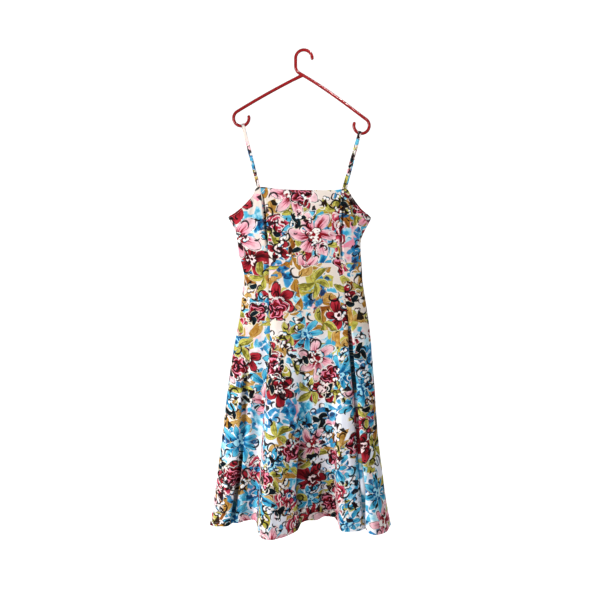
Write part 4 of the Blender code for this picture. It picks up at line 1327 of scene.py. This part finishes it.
def cotton_material(settings):
    """Printed cotton: the print on the outside, its paler back on the inside, the weave, and painted
    shade along its deep creases.
    """
    material, w, shader = new_material("printed_cotton")
    place = w.out(w.node("ShaderNodeUVMap", uv_map="cut"))
    _, _, height = w.split(w.out(w.node("ShaderNodeTexCoord"), "Object"))
    printed = w.out(w.group(print_group(), {
        "Vector": place,
        "Height": height,
        "Warm Ground": (*settings.warm_ground, 1.0),
        "Cool Ground": (*settings.cool_ground, 1.0),
    }))
    reverse = w.out(w.node("ShaderNodeAttribute", attribute_name="reverse"), "Fac")
    weave = w.group(weave_group(), {"Vector": place, "Thread": settings.thread_pitch})
    crumple = w.group(crumple_group(), {"Vector": place})
    colour = w.mix(reverse * settings.back_paleness, printed, (*settings.cool_ground, 1.0))
    # Painted shade: the colour is darkened along the deep creases, as if the cloth on both sides shaded
    # them.
    fold = w.out(w.node("ShaderNodeAttribute", attribute_name="fold"), "Fac")
    shade = w.out(weave, "Shade") * (1.0 - fold * settings.fold_shade)
    w.put(shader.inputs["Base Color"], w.darken(colour, shade))
    brush = w.noise_value(place, 0.05, 2.0)
    w.put(shader.inputs["Roughness"], 0.70 + brush * 0.22)
    shader.inputs["Sheen Weight"].default_value = 0.03
    shader.inputs["Sheen Roughness"].default_value = 0.45
    shader.inputs["Specular IOR Level"].default_value = 0.18
    soft = w.node("ShaderNodeBump", {"Strength": 0.55, "Distance": 0.0007})
    w.put(soft.inputs["Height"], w.out(crumple))
    fine = w.node("ShaderNodeBump", {"Strength": 0.25, "Distance": 0.00015})
    w.put(fine.inputs["Height"], w.out(weave, "Relief"))
    w.put(fine.inputs["Normal"], w.out(soft))
    w.put(shader.inputs["Normal"], w.out(fine))
    return material


def plastic_material(settings):
    """Glossy moulded plastic with faint flow marks and rubbed patches, and painted shade that darkens
    it where its surface turns away from the view.
    """
    material, w, shader = new_material("hanger_plastic")
    place = w.out(w.node("ShaderNodeTexCoord"), "Object")
    marks = w.node("ShaderNodeTexNoise", {"Vector": place, "Scale": 60.0, "Detail": 3.0})
    rubs = w.node("ShaderNodeTexNoise", {"Vector": place, "Scale": 700.0, "Detail": 2.0})
    # Painted shade: the colour darkens towards the rod's rims, where its surface turns away from the
    # view, with a little of the real darker flow marks mixed in.
    turned = w.out(w.node("ShaderNodeLayerWeight", {"Blend": 0.5}), "Facing")
    depth = w.rise(turned, 0.30, 0.85) * 0.85 + w.rise(w.out(marks), 0.60, 0.40) * 0.15
    colour = w.mix(depth, (*settings.colour, 1.0), (*settings.edge_shade_and_flow_colour, 1.0))
    w.put(shader.inputs["Base Color"], colour)
    w.put(shader.inputs["Roughness"], w.out(marks) * 0.14 + w.out(rubs) * 0.08 + 0.10)
    shader.inputs["Specular IOR Level"].default_value = 0.5
    shader.inputs["Coat Weight"].default_value = 0.3
    shader.inputs["Coat Roughness"].default_value = 0.08
    bump = w.node("ShaderNodeBump", {"Strength": 0.06, "Distance": 0.0002})
    w.put(bump.inputs["Height"], w.out(rubs))
    w.put(shader.inputs["Normal"], w.out(bump))
    return material


def thread_material(settings):
    """Sewing thread, matt and slightly uneven."""
    material, w, shader = new_material("sewing_thread")
    place = w.out(w.node("ShaderNodeTexCoord"), "Object")
    twist = w.node("ShaderNodeTexNoise", {"Vector": place, "Scale": 2400.0, "Detail": 1.0})
    colour = (*settings.thread_colour, 1.0)
    w.put(shader.inputs["Base Color"], w.darken(
        w.mix(0.0, colour, colour), w.out(twist) * 0.5 + 0.72))
    w.put(shader.inputs["Roughness"], w.out(twist) * 0.3 + 0.55)
    return material


def dress(piece, material, slot, *nodes):
    """Gives a finished piece its finish and its body, and hides the solids that it stands for."""
    piece.data.materials.clear()
    piece.data.materials.append(material)
    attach(piece, "root")
    if nodes:
        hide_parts(*nodes)
    return piece


def make_panel(name, side, seam_a, seam_b, columns, print_place, settings, material):
    """One cut panel as a thin closed shell, and the rows of points that its sewing follows."""
    share = even_columns(side, seam_a, seam_b, columns)
    down = even_rows(settings)
    across, z = panel_grid(side, seam_a, seam_b, share, down)
    lift = cloth_lift(side, across, z, settings)
    outer = cloth(side, across, z) + way_out(side, across, z) * lift[..., None]
    normal = grid_normals(outer, side, across)
    along, run = cloth_measure(outer)
    from_hem = run[-1:] - run
    thickness = np.full(z.shape, settings.thickness)
    thickness += settings.thickness * 0.7 * smooth_step(-from_hem, -settings.hem_turn - 0.0007,
                                                        -settings.hem_turn + 0.0007)
    thickness += settings.thickness * 0.7 * smooth_step(-run, -settings.edge_turn - 0.0007,
                                                        -settings.edge_turn + 0.0007)
    inner = outer - normal * thickness[..., None]
    points, faces = shell(outer, inner, settings.rim_bulge)
    flat_along, flat_down = flat_places(side, seam_a, seam_b, share, z)
    place = np.stack([flat_along + print_place[0], print_place[1] - flat_down], axis=-1)
    place = place.reshape(-1, 2)
    rim = rim_of(*z.shape)
    reverse = np.concatenate([np.zeros(z.size), np.ones(z.size), np.full(len(rim), 0.2)])
    # How deep each outer point lies in a crease, which sets the painted shade there; the inner face
    # gets none.
    fold = np.clip(-crease_lift(side, cloth(side, across, z)[..., 0], z, 1.0) / FOLD_DARKEST, 0, 1)
    fold = np.concatenate([fold.ravel(), np.zeros(z.size + len(rim))])
    piece = mesh_object(
        "cloth_" + name, points, faces, (("reverse", reverse), ("fold", fold)),
        np.concatenate([place, place, place[rim]])
    )
    dress(piece, material, "printed_cotton", name)
    rows = {
        "edge": (outer, normal, int(np.argmin(np.abs(run.mean(axis=1) - settings.edge_turn)))),
        "hem": (outer, normal, int(np.argmin(np.abs(from_hem.mean(axis=1) - settings.hem_turn)))),
    }
    return piece, rows


def unit(vector):
    return vector / np.linalg.norm(vector)


def direction(degrees):
    """Unit vector (x, z) in the hanger's plane."""
    return np.array([math.cos(math.radians(degrees)), math.sin(math.radians(degrees))])


def sewn_point(side, across, z, settings):
    """Middle of a strap's end, just inside a panel's inner face, and the way out of it."""
    across = np.asarray(across, float)
    z = np.asarray(z, float)
    out = way_out(side, across, z)
    lift = cloth_lift(side, across, z, settings)
    inset = SOLID_WALL + GAP + STRAP_THICKNESS / 2
    return cloth(side, across, z) + out * (lift - inset)[..., None], out


def strand(side, across, hook_centre, settings):
    """Stations (middle, width, out) of one strand, from the rod down to its sewn end."""
    top = float(TOP[side](across))
    foot, _ = sewn_point(side, across, top + GAP, settings)
    beside = across + STRAP_SIDE_STEP * np.array([-1.0, 1.0])
    left_of_foot, right_of_foot = cloth(side, beside, np.full(2, top))
    width_at_foot = unit(right_of_foot - left_of_foot)
    pull = unit(foot[[0, 2]] - np.array(hook_centre))
    facing = FACING[side]
    over = ROD_RADIUS + GAP + STRAP_THICKNESS / 2
    start_x, start_z = np.array(hook_centre) + pull * END_HOOK_RADIUS
    start = np.array([start_x, facing * over, start_z])
    width_at_rod = np.array([-pull[1], 0.0, pull[0]])
    stations = []
    for t in np.linspace(0, 1, settings.steps_hanging + 1)[1:]:
        width = unit(width_at_rod + (width_at_foot - width_at_rod) * smooth_step(t, 0.0, 1.0))
        out = unit(np.cross(width, foot - start))
        stations.append((start + (foot - start) * t, width, out * facing * np.sign(out[1])))
    lean = (foot[0] - start[0]) / (start[2] - foot[2])
    row = float(side_right_x(top) - side_left_x(top))
    for down in np.linspace(0, STRAP_SEWN, settings.steps_sewn + 1)[1:]:
        middle, out = sewn_point(side, across + lean * down / row, top - down, settings)
        stations.append((middle, width_at_foot, out))
    return stations, pull


def strap_sections(ends, hook_centre, settings):
    """Stations of a whole strap, from its front end over the rod to its back end."""
    front, front_pull = strand("front", ends[0], hook_centre, settings)
    back, back_pull = strand("back", ends[1], hook_centre, settings)
    pull = unit(front_pull + back_pull)
    width = np.array([-pull[1], 0.0, pull[0]])
    outward = np.array([pull[0], 0.0, pull[1]])
    middle = np.array([hook_centre[0], 0.0, hook_centre[1]]) + outward * END_HOOK_RADIUS
    over = []
    for turn in np.linspace(-90, -270, settings.steps_over_rod + 1):
        away, sideways = direction(turn)
        out = unit(outward * away + np.array([0.0, sideways, 0.0]))
        reach = ROD_RADIUS + GAP + STRAP_THICKNESS / 2
        over.append((middle + out * reach, width, out))
    return list(reversed(front)) + over + back


def strap_ring(settings):
    """(along the width, along the thickness) of a strap's soft-edged cross-section."""
    turn = np.linspace(0, 2 * math.pi, settings.ring_points, endpoint=False)
    width = np.sign(np.cos(turn)) * np.abs(np.cos(turn)) ** 0.42 * STRAP_WIDTH / 2
    thick = np.sign(np.sin(turn)) * np.abs(np.sin(turn)) ** 0.80 * STRAP_THICKNESS * 0.46
    return np.stack([width, thick], axis=1)


def sweep(stations, rings):
    """Points and faces of a closed body through rings of points."""
    count = rings.shape[1]
    points = rings.reshape(-1, 3)
    faces = []
    for i in range(len(rings) - 1):
        for k in range(count):
            a = i * count + k
            b = i * count + (k + 1) % count
            faces.append((a, b, b + count, a + count))
    faces.append(tuple(reversed(range(count))))
    faces.append(tuple(range((len(rings) - 1) * count, len(rings) * count)))
    return points, faces


def make_strap(name, ends, hook_centre, print_place, settings, material):
    """A narrow turned strap, and the two lines that its edge stitching follows."""
    stations = strap_sections(ends, hook_centre, settings)
    ring = strap_ring(settings)
    middles = np.array([s[0] for s in stations])
    widths = np.array([s[1] for s in stations])
    outs = np.array([s[2] for s in stations])
    run = np.concatenate([[0], np.cumsum(np.linalg.norm(np.diff(middles, axis=0), axis=1))])
    uneven = 1.0 + 0.035 * smooth_noise(run / 0.03, np.full_like(run, 2.0), 31)
    across = ring[None, :, 0] * uneven[:, None]
    rings = (middles[:, None] + widths[:, None] * across[..., None]
             + outs[:, None] * ring[None, :, 1, None])
    points, faces = sweep(stations, rings)
    place = np.stack([
        np.broadcast_to(ring[None, :, 0] + ring[None, :, 1], rings.shape[:2]) + print_place[0],
        np.broadcast_to(run[:, None], rings.shape[:2]) + print_place[1]], axis=-1)
    piece = mesh_object(name + "_cloth", points, faces, (("reverse", np.zeros(len(points))),),
                        place.reshape(-1, 2))
    dress(piece, material, "printed_cotton", name)
    lines = []
    shown = slice(settings.steps_sewn, len(stations) - settings.steps_sewn)
    for edge in (-1, 1):
        line = (middles + widths * edge * STRAP_WIDTH * 0.36
                + outs * STRAP_THICKNESS * 0.44)
        lines.append((line[shown], outs[shown]))
    return piece, lines


def arc(centre, radius, from_degrees, to_degrees, steps):
    """Points (x, z) of an arc in the hanger's plane."""
    angles = np.linspace(from_degrees, to_degrees, steps + 1)
    return [np.array(centre) + radius * direction(angle) for angle in angles]


def bowed(start, end, start_heading, end_heading, steps):
    """Points of a gently bowed run between two headings, given in degrees."""
    a = np.array(start)
    b = np.array(end)
    reach = np.linalg.norm(b - a) / 3
    control_a = a + direction(start_heading) * reach
    control_b = b - direction(end_heading) * reach
    points = []
    for t in np.linspace(0, 1, steps + 1):
        near_start = (1 - t) ** 3 * a + 3 * t * (1 - t) ** 2 * control_a
        near_end = 3 * t * t * (1 - t) * control_b + t**3 * b
        points.append(near_start + near_end)
    return points


def long_rod_path(settings):
    """Top hook, stem, right arm and right end hook: one bent rod."""
    steps = settings.arc_steps
    over = arc(TOP_HOOK_CENTRE, TOP_HOOK_RADIUS, 0, 180, 2 * steps)
    bend_centre = (TOP_HOOK_CENTRE[0] - TOP_HOOK_RADIUS + STEM_BEND_RADIUS, STEM_FOOT)
    inner, outer = RIGHT_ARM_SLOPES
    bend = arc(bend_centre, STEM_BEND_RADIUS, 180, 270 - inner, steps)
    hook = arc(RIGHT_HOOK_CENTRE, END_HOOK_RADIUS, 90 - outer, -180 - RIGHT_TIP_RISE, 2 * steps)
    arm = bowed(bend[-1], hook[0], -inner, -outer, steps)
    return over + bend + arm[1:] + hook[1:]


def short_rod_path(settings):
    """Left arm and left end hook, from inside the long rod."""
    steps = settings.arc_steps
    inner, outer = LEFT_ARM_SLOPES
    hook = arc(LEFT_HOOK_CENTRE, END_HOOK_RADIUS, 90 + outer, 360 + LEFT_TIP_RISE, 2 * steps)
    return bowed(ARMS_MEET, hook[0], 180 + inner, 180 + outer, steps) + hook[1:]


def rod_mesh(path, sides, round_start, swell):
    """A rod along a path in the hanger's plane, with round ends.

    swell is how much thicker it grows towards its start, where it runs into the other rod."""
    path = np.array(path)
    heading = unit_rows(np.gradient(path, axis=0))
    run = np.concatenate([[0], np.cumsum(np.linalg.norm(np.diff(path, axis=0), axis=1))])
    sizes = ROD_RADIUS * (1 + swell * np.exp(-((run / 0.020) ** 2)))
    stations = list(zip(path, sizes, heading))
    for degrees in (15, 30, 45, 60, 72, 82):
        shrink, reach = ROD_RADIUS * direction(degrees)
        stations.append((path[-1] + heading[-1] * reach, shrink, heading[-1]))
        if round_start:
            stations.insert(0, (path[0] - heading[0] * reach, shrink, heading[0]))
    turn = 2 * math.pi * (np.arange(sides) + 0.5) / sides
    rings = []
    for place, size, way in stations:
        in_plane = np.outer(np.cos(turn) * size, [-way[1], way[0]]) + place
        rings.append(np.stack([in_plane[:, 0], np.sin(turn) * size, in_plane[:, 1]], axis=1))
    return sweep(stations, np.array(rings))


def applied(piece):
    """A plain mesh object of what a piece's modifiers give; the piece itself goes."""
    bpy.context.view_layer.update()
    depsgraph = bpy.context.evaluated_depsgraph_get()
    mesh = bpy.data.meshes.new_from_object(piece.evaluated_get(depsgraph))
    name = piece.name
    bpy.data.objects.remove(piece, do_unlink=True)
    mesh.name = name
    made = bpy.data.objects.new(name, mesh)
    bpy.context.scene.collection.objects.link(made)
    return made


def make_hanger(settings, material):
    """The hanger: a long bent rod with the left arm moulded onto it."""
    sides = settings.rod_sides
    long_rod = mesh_object("rod_hanger", *rod_mesh(long_rod_path(settings), sides, True, 0.0))
    left_arm = mesh_object("left_arm", *rod_mesh(short_rod_path(settings), sides, False, 0.16))
    union = long_rod.modifiers.new("moulded on", "BOOLEAN")
    union.operation = "UNION"
    union.solver = "EXACT"
    union.object = left_arm
    hanger = applied(long_rod)
    bpy.data.objects.remove(left_arm, do_unlink=True)
    hanger.data.shade_smooth()
    hanger.data.set_sharp_from_angle(angle=math.radians(62))
    return dress(
        hanger, material, "hanger_plastic", "hanger_hook", "hanger_arm_left", "hanger_arm_right"
    )


def stitch_tree():
    """Geometry nodes that lay stitches end to end along every line of a mesh."""
    tree = bpy.data.node_groups.new("row of stitches", "GeometryNodeTree")
    tree.interface.new_socket(name="Geometry", in_out="INPUT", socket_type="NodeSocketGeometry")
    for label in ("Stitch Length", "Stitch Gap", "Thread Radius"):
        tree.interface.new_socket(name=label, in_out="INPUT", socket_type="NodeSocketFloat")
    tree.interface.new_socket(name="Thread", in_out="INPUT", socket_type="NodeSocketMaterial")
    tree.interface.new_socket(name="Geometry", in_out="OUTPUT", socket_type="NodeSocketGeometry")
    w = Wiring(tree)
    entry = w.node("NodeGroupInput")
    length = w.out(entry, "Stitch Length")
    radius = w.out(entry, "Thread Radius")
    lines = w.out(w.node("GeometryNodeMeshToCurve", {"Mesh": w.out(entry, "Geometry")}))
    spaced = w.node("GeometryNodeResampleCurve", {"Curve": lines}, mode="LENGTH")
    w.put(spaced.inputs["Length"], length + w.out(entry, "Stitch Gap"))
    out = w.node("GeometryNodeInputNamedAttribute", data_type="FLOAT_VECTOR")
    out.inputs["Name"].default_value = "out"
    turned = w.node("FunctionNodeAxesToRotation", primary_axis="X", secondary_axis="Z")
    w.put(turned.inputs["Primary Axis"], w.out(w.node("GeometryNodeInputTangent")))
    w.put(turned.inputs["Secondary Axis"], w.out(out))
    bead = w.node("GeometryNodeMeshUVSphere", {"Segments": 6, "Rings": 4, "Radius": 1.0})
    placed = w.node("GeometryNodeInstanceOnPoints", {
        "Points": w.out(spaced), "Instance": w.out(bead), "Rotation": w.out(turned),
        "Scale": w.join(length * 0.5, radius, radius * 0.8)})
    whole = w.out(w.node("GeometryNodeRealizeInstances", {"Geometry": w.out(placed)}))
    smooth = w.out(w.node("GeometryNodeSetShadeSmooth", {"Geometry": whole}))
    finished = w.node("GeometryNodeSetMaterial", {
        "Geometry": smooth, "Material": w.out(entry, "Thread")})
    w.put(w.node("NodeGroupOutput").inputs["Geometry"], w.out(finished))
    return tree


def make_stitching(name, lines, settings, material, tree):
    """Rows of stitches along lines of points, each with its outward directions."""
    points = np.concatenate([line for line, _ in lines])
    outs = np.concatenate([out for _, out in lines])
    edges = []
    first = 0
    for line, _ in lines:
        edges += [(first + k, first + k + 1) for k in range(len(line) - 1)]
        first += len(line)
    mesh = bpy.data.meshes.new(name)
    mesh.from_pydata([tuple(p) for p in points], edges, [])
    attribute = mesh.attributes.new("out", "FLOAT_VECTOR", "POINT")
    attribute.data.foreach_set("vector", outs.astype(np.float32).ravel())
    piece = bpy.data.objects.new(name, mesh)
    bpy.context.scene.collection.objects.link(piece)
    rows = piece.modifiers.new("stitches", "NODES")
    rows.node_group = tree
    values = {
        "Stitch Length": settings.stitch_length,
        "Stitch Gap": settings.stitch_gap,
        "Thread Radius": settings.thread_radius,
        "Thread": material,
    }
    for item in tree.interface.items_tree:
        if item.in_out == "INPUT" and item.name in values:
            rows[item.identifier] = values[item.name]
    made = applied(piece)
    return dress(made, material, "printed_cotton")


class SundressClothSettings(bpy.types.PropertyGroup):
    """Sizes of the panels and the straps."""

    thickness: bpy.props.FloatProperty(
        name="Thickness", description="Thickness of the cotton", default=0.0008, unit="LENGTH"
    )
    crease_depth: bpy.props.FloatProperty(
        name="Crease Depth", description="How deep the creases are, 1 as they hang", default=1.0
    )
    hem_turn: bpy.props.FloatProperty(
        name="Hem Turn", description="Depth of the turned hem", default=0.013, unit="LENGTH"
    )
    edge_turn: bpy.props.FloatProperty(
        name="Edge Turn", description="Depth of the turned top edge", default=0.006,
        unit="LENGTH"
    )
    rim_bulge: bpy.props.FloatProperty(
        name="Edge Roundness", description="How round a folded edge is", default=0.45
    )
    seam_groove: bpy.props.FloatProperty(
        name="Seam Groove", description="Depth of the groove along a seam", default=0.0009,
        unit="LENGTH"
    )
    pucker_height: bpy.props.FloatProperty(
        name="Pucker Height", description="Height of the puckers at a seam", default=0.0008,
        unit="LENGTH"
    )
    pucker_size: bpy.props.FloatProperty(
        name="Pucker Size", description="Length of one pucker", default=0.011, unit="LENGTH"
    )
    steps_hanging: bpy.props.IntProperty(
        name="Hanging Steps", description="Rings along each strand of a strap", default=26
    )
    steps_over_rod: bpy.props.IntProperty(
        name="Steps Over The Rod", description="Rings of a strap's bend", default=16
    )
    steps_sewn: bpy.props.IntProperty(
        name="Sewn Steps", description="Rings of a strap's sewn end", default=5
    )
    ring_points: bpy.props.IntProperty(
        name="Ring Points", description="Points round a strap", default=20
    )


class SundressPrintSettings(bpy.types.PropertyGroup):
    """Colours of the printed cotton."""

    warm_ground: bpy.props.FloatVectorProperty(
        name="Upper Ground", description="Ground colour of the bodice", size=3,
        subtype="COLOR", min=0, max=1, default=WARM_GROUND[:3]
    )
    cool_ground: bpy.props.FloatVectorProperty(
        name="Lower Ground", description="Ground colour of the skirt", size=3,
        subtype="COLOR", min=0, max=1, default=COOL_GROUND[:3]
    )
    back_paleness: bpy.props.FloatProperty(
        name="Paleness Inside", description="How much paler the back of the print is",
        default=0.5, min=0, max=1
    )
    # Strength of the shade painted into the cloth's colour along deep creases.
    fold_shade: bpy.props.FloatProperty(
        name="Shade In Folds", description="How dark the cloth is at the bottom of a tight fold",
        default=0.70, min=0, max=1
    )
    thread_pitch: bpy.props.FloatProperty(
        name="Thread Pitch", description="Distance between threads of the weave",
        default=0.00045, unit="LENGTH", precision=5
    )


class SundressStitchSettings(bpy.types.PropertyGroup):
    """Sizes of the sewing."""

    stitch_length: bpy.props.FloatProperty(
        name="Stitch Length", description="Length of a stitch", default=0.0025, unit="LENGTH"
    )
    stitch_gap: bpy.props.FloatProperty(
        name="Stitch Gap", description="Gap between stitches", default=0.0006, unit="LENGTH"
    )
    thread_radius: bpy.props.FloatProperty(
        name="Thread Radius", description="Radius of the thread", default=0.00022,
        unit="LENGTH", precision=5
    )
    thread_colour: bpy.props.FloatVectorProperty(
        name="Thread", description="Colour of the thread", size=3, subtype="COLOR",
        min=0, max=1, default=paint("#e6dcd6")[:3]
    )


class SundressHangerSettings(bpy.types.PropertyGroup):
    """Sizes and colours of the hanger."""

    rod_sides: bpy.props.IntProperty(
        name="Rod Sides", description="Points round the rod", default=28
    )
    arc_steps: bpy.props.IntProperty(
        name="Arc Steps", description="Rings along each bend", default=28
    )
    colour: bpy.props.FloatVectorProperty(
        name="Plastic", description="Colour of the plastic", size=3, subtype="COLOR",
        min=0, max=1, default=(0.290, 0.004, 0.006)
    )
    # Dark colour of the painted shade at the rod's rims, and of its real flow marks.
    edge_shade_and_flow_colour: bpy.props.FloatVectorProperty(
        name="Edge Shade And Flow Marks", description="Darker colour of the painted rim shade and of the flow marks", size=3,
        subtype="COLOR", min=0, max=1, default=(0.050, 0.001, 0.002)
    )


class SundressStageSettings(bpy.types.PropertyGroup):
    """Camera, lights and floor."""

    camera_distance: bpy.props.FloatProperty(
        name="Camera Distance", description="From the camera to the dress", default=2.6,
        unit="LENGTH"
    )
    camera_pitch: bpy.props.FloatProperty(
        name="Camera Pitch", description="How far the camera looks down",
        default=math.radians(7), subtype="ANGLE"
    )
    aim_across: bpy.props.FloatProperty(
        name="Aim Across", description="Middle of the view, along X", default=-0.0113,
        unit="LENGTH"
    )
    aim_height: bpy.props.FloatProperty(
        name="Aim Height", description="Middle of the view, along Z", default=-0.7256,
        unit="LENGTH"
    )
    focal_length: bpy.props.FloatProperty(
        name="Focal Length", description="In millimetres, on a 36 mm sensor", default=52.0
    )
    floor_drop: bpy.props.FloatProperty(
        name="Floor Drop", description="From the hem down to the floor", default=0.42,
        unit="LENGTH"
    )
    floor_glow: bpy.props.FloatProperty(
        name="Floor Paleness", description="How much paler the floor looks than it is lit",
        default=0.60
    )
    key_power: bpy.props.FloatProperty(
        name="Key Light", description="Power of the large light on the left", default=74.0,
        unit="POWER"
    )
    glint_power: bpy.props.FloatProperty(
        name="Glint", description="Power of the small light that shines on the hanger", default=0.5,
        min=0
    )
    fill_power: bpy.props.FloatProperty(
        name="Fill Light", description="Power of the light on the right", default=16.0,
        unit="POWER"
    )
    sky_strength: bpy.props.FloatProperty(
        name="Room Light", description="Strength of the even light all round", default=0.40
    )


def aim(thing, target):
    """Turns a light or the camera to look at a point."""
    thing.rotation_euler = (Vector(target) - thing.location).to_track_quat("-Z", "Y").to_euler()


GLINT_SPREAD = math.radians(16)


def add_light(name, place, target, size, power, spread=math.pi):
    data = bpy.data.lights.new(name, "AREA")
    data.spread = spread
    data.shape = "RECTANGLE"
    data.size, data.size_y = size
    data.energy = power
    light = bpy.data.objects.new(name, data)
    light.location = place
    aim(light, target)
    bpy.context.scene.collection.objects.link(light)


def make_floor(drop, glow):
    """A round pale floor that turns up into a backdrop all round."""
    height = HEM - drop
    flat, turn_radius, tall, sides = 7.0, 2.0, 5.0, 96
    profile = [(0.001, height), (flat, height)]
    for degrees in range(6, 91, 6):
        turn = math.radians(degrees)
        profile.append((flat + turn_radius * math.sin(turn),
                        height + turn_radius * (1 - math.cos(turn))))
    profile.append((flat + turn_radius, height + tall))
    points = []
    for radius, z in profile:
        for k in range(sides):
            turn = 2 * math.pi * k / sides
            points.append((radius * math.cos(turn), radius * math.sin(turn), z))
    faces = []
    for row in range(len(profile) - 1):
        for k in range(sides):
            a, b = row * sides + k, row * sides + (k + 1) % sides
            faces.append((a, a + sides, b + sides, b))
    mesh = bpy.data.meshes.new("studio_floor")
    mesh.from_pydata(points, [], faces)
    mesh.shade_smooth()
    floor = bpy.data.objects.new("studio_floor", mesh)
    bpy.context.scene.collection.objects.link(floor)
    material, w, shader = new_material("studio_floor")
    shader.inputs["Base Color"].default_value = (0.82, 0.82, 0.82, 1.0)
    shader.inputs["Roughness"].default_value = 0.9
    shader.inputs["Specular IOR Level"].default_value = 0.1
    shader.inputs["Emission Color"].default_value = (1.0, 1.0, 1.0, 1.0)
    w.put(shader.inputs["Emission Strength"], w.out(w.node("ShaderNodeLightPath")) * glow)
    mesh.materials.append(material)


class SUNDRESS_OT_stage(bpy.types.Operator):
    """Make the camera, the lights and the pale floor"""

    bl_idname = "sundress.make_stage"
    bl_label = "Make Stage"

    def execute(self, context):
        scene = context.scene
        settings = scene.sundress_stage
        target = Vector((settings.aim_across, 0.0, settings.aim_height))
        data = bpy.data.cameras.new("camera")
        data.lens = settings.focal_length
        data.sensor_width = 36.0
        camera = bpy.data.objects.new("camera", data)
        back = settings.camera_distance * math.cos(settings.camera_pitch)
        up = settings.camera_distance * math.sin(settings.camera_pitch)
        camera.location = target + Vector((0.0, -back, up))
        aim(camera, target)
        scene.collection.objects.link(camera)
        scene.camera = camera
        add_light("key", (-2.6, -1.6, -0.85), (0, 0, -1.0), (0.9, 1.8), settings.key_power)
        add_light("fill", (2.4, -2.2, -1.0), (0, 0, -0.95), (1.2, 2.0), settings.fill_power)
        add_light("glint", (1.15, -1.5, 1.5), (0.12, 0, 0.02), (0.3, 0.3), settings.glint_power,
                  GLINT_SPREAD)
        world = bpy.data.worlds.new("even_light")
        world.use_nodes = True
        background = world.node_tree.nodes["Background"]
        background.inputs["Color"].default_value = (1.0, 1.0, 1.0, 1.0)
        background.inputs["Strength"].default_value = settings.sky_strength
        scene.world = world
        scene.view_settings.view_transform = "Standard"
        scene.view_settings.look = "Medium High Contrast"
        make_floor(settings.floor_drop, settings.floor_glow)
        return {"FINISHED"}


class SUNDRESS_OT_hanger(bpy.types.Operator):
    """Make the plastic rod hanger"""

    bl_idname = "sundress.make_hanger"
    bl_label = "Make Hanger"

    def execute(self, context):
        settings = context.scene.sundress_hanger
        make_hanger(settings, plastic_material(settings))
        return {"FINISHED"}


class SUNDRESS_OT_cloth(bpy.types.Operator):
    """Make the straps, the panels and their sewing"""

    bl_idname = "sundress.make_cloth"
    bl_label = "Make Cloth"

    def execute(self, context):
        scene = context.scene
        settings = scene.sundress_cloth
        cotton = cotton_material(scene.sundress_print)
        thread = thread_material(scene.sundress_stitch)
        tree = stitch_tree()
        strap_lines = []
        for name, ends, centre, place in STRAPS:
            _, lines = make_strap(name, ends, centre, place, settings, cotton)
            strap_lines += lines
        sewn = {"edge": [], "hem": []}
        for panel in PANELS:
            _, rows = make_panel(*panel, settings, cotton)
            for kind, (outer, normal, row) in rows.items():
                sewn[kind].append((outer[row] + normal[row] * 0.00012, normal[row]))
        stitch = scene.sundress_stitch
        make_stitching("stitching_straps", strap_lines, stitch, thread, tree)
        make_stitching("stitching_top_edge", sewn["edge"], stitch, thread, tree)
        make_stitching("stitching_hem", sewn["hem"], stitch, thread, tree)
        return {"FINISHED"}


STRAPS = (
    # name, where the front and the back end are sewn (across), hook, place of its print
    ("strap_left", (0.2120, 0.2360), LEFT_HOOK_CENTRE, (10.021, 0.451)),
    ("strap_right", (0.8060, 0.7970), RIGHT_HOOK_CENTRE, (9.892, 0.517)),
)


class SUNDRESS_PT_panel(bpy.types.Panel):
    """Lists the operators and the settings"""

    bl_idname = "SUNDRESS_PT_panel"
    bl_label = "Sundress"
    bl_space_type = "VIEW_3D"
    bl_region_type = "UI"
    bl_category = "Sundress"

    def draw(self, context):
        for operator in OPERATORS:
            self.layout.operator(operator.bl_idname)
        for name in SETTINGS:
            settings = getattr(context.scene, name)
            box = self.layout.box()
            for key in settings.__annotations__:
                box.prop(settings, key)


SETTINGS = {
    "sundress_cloth": SundressClothSettings,
    "sundress_print": SundressPrintSettings,
    "sundress_stitch": SundressStitchSettings,
    "sundress_hanger": SundressHangerSettings,
    "sundress_stage": SundressStageSettings,
}
OPERATORS = (SUNDRESS_OT_stage, SUNDRESS_OT_hanger, SUNDRESS_OT_cloth)


def register():
    for group in SETTINGS.values():
        bpy.utils.register_class(group)
    for name, group in SETTINGS.items():
        setattr(bpy.types.Scene, name, bpy.props.PointerProperty(type=group))
    for operator in OPERATORS:
        bpy.utils.register_class(operator)
    bpy.utils.register_class(SUNDRESS_PT_panel)


def unregister():
    bpy.utils.unregister_class(SUNDRESS_PT_panel)
    for operator in reversed(OPERATORS):
        bpy.utils.unregister_class(operator)
    for name, group in SETTINGS.items():
        delattr(bpy.types.Scene, name)
        bpy.utils.unregister_class(group)


def main():
    register()
    bpy.ops.sundress.make_stage()
    bpy.ops.sundress.make_hanger()
    bpy.ops.sundress.make_cloth()


if __name__ == "__main__":
    main()
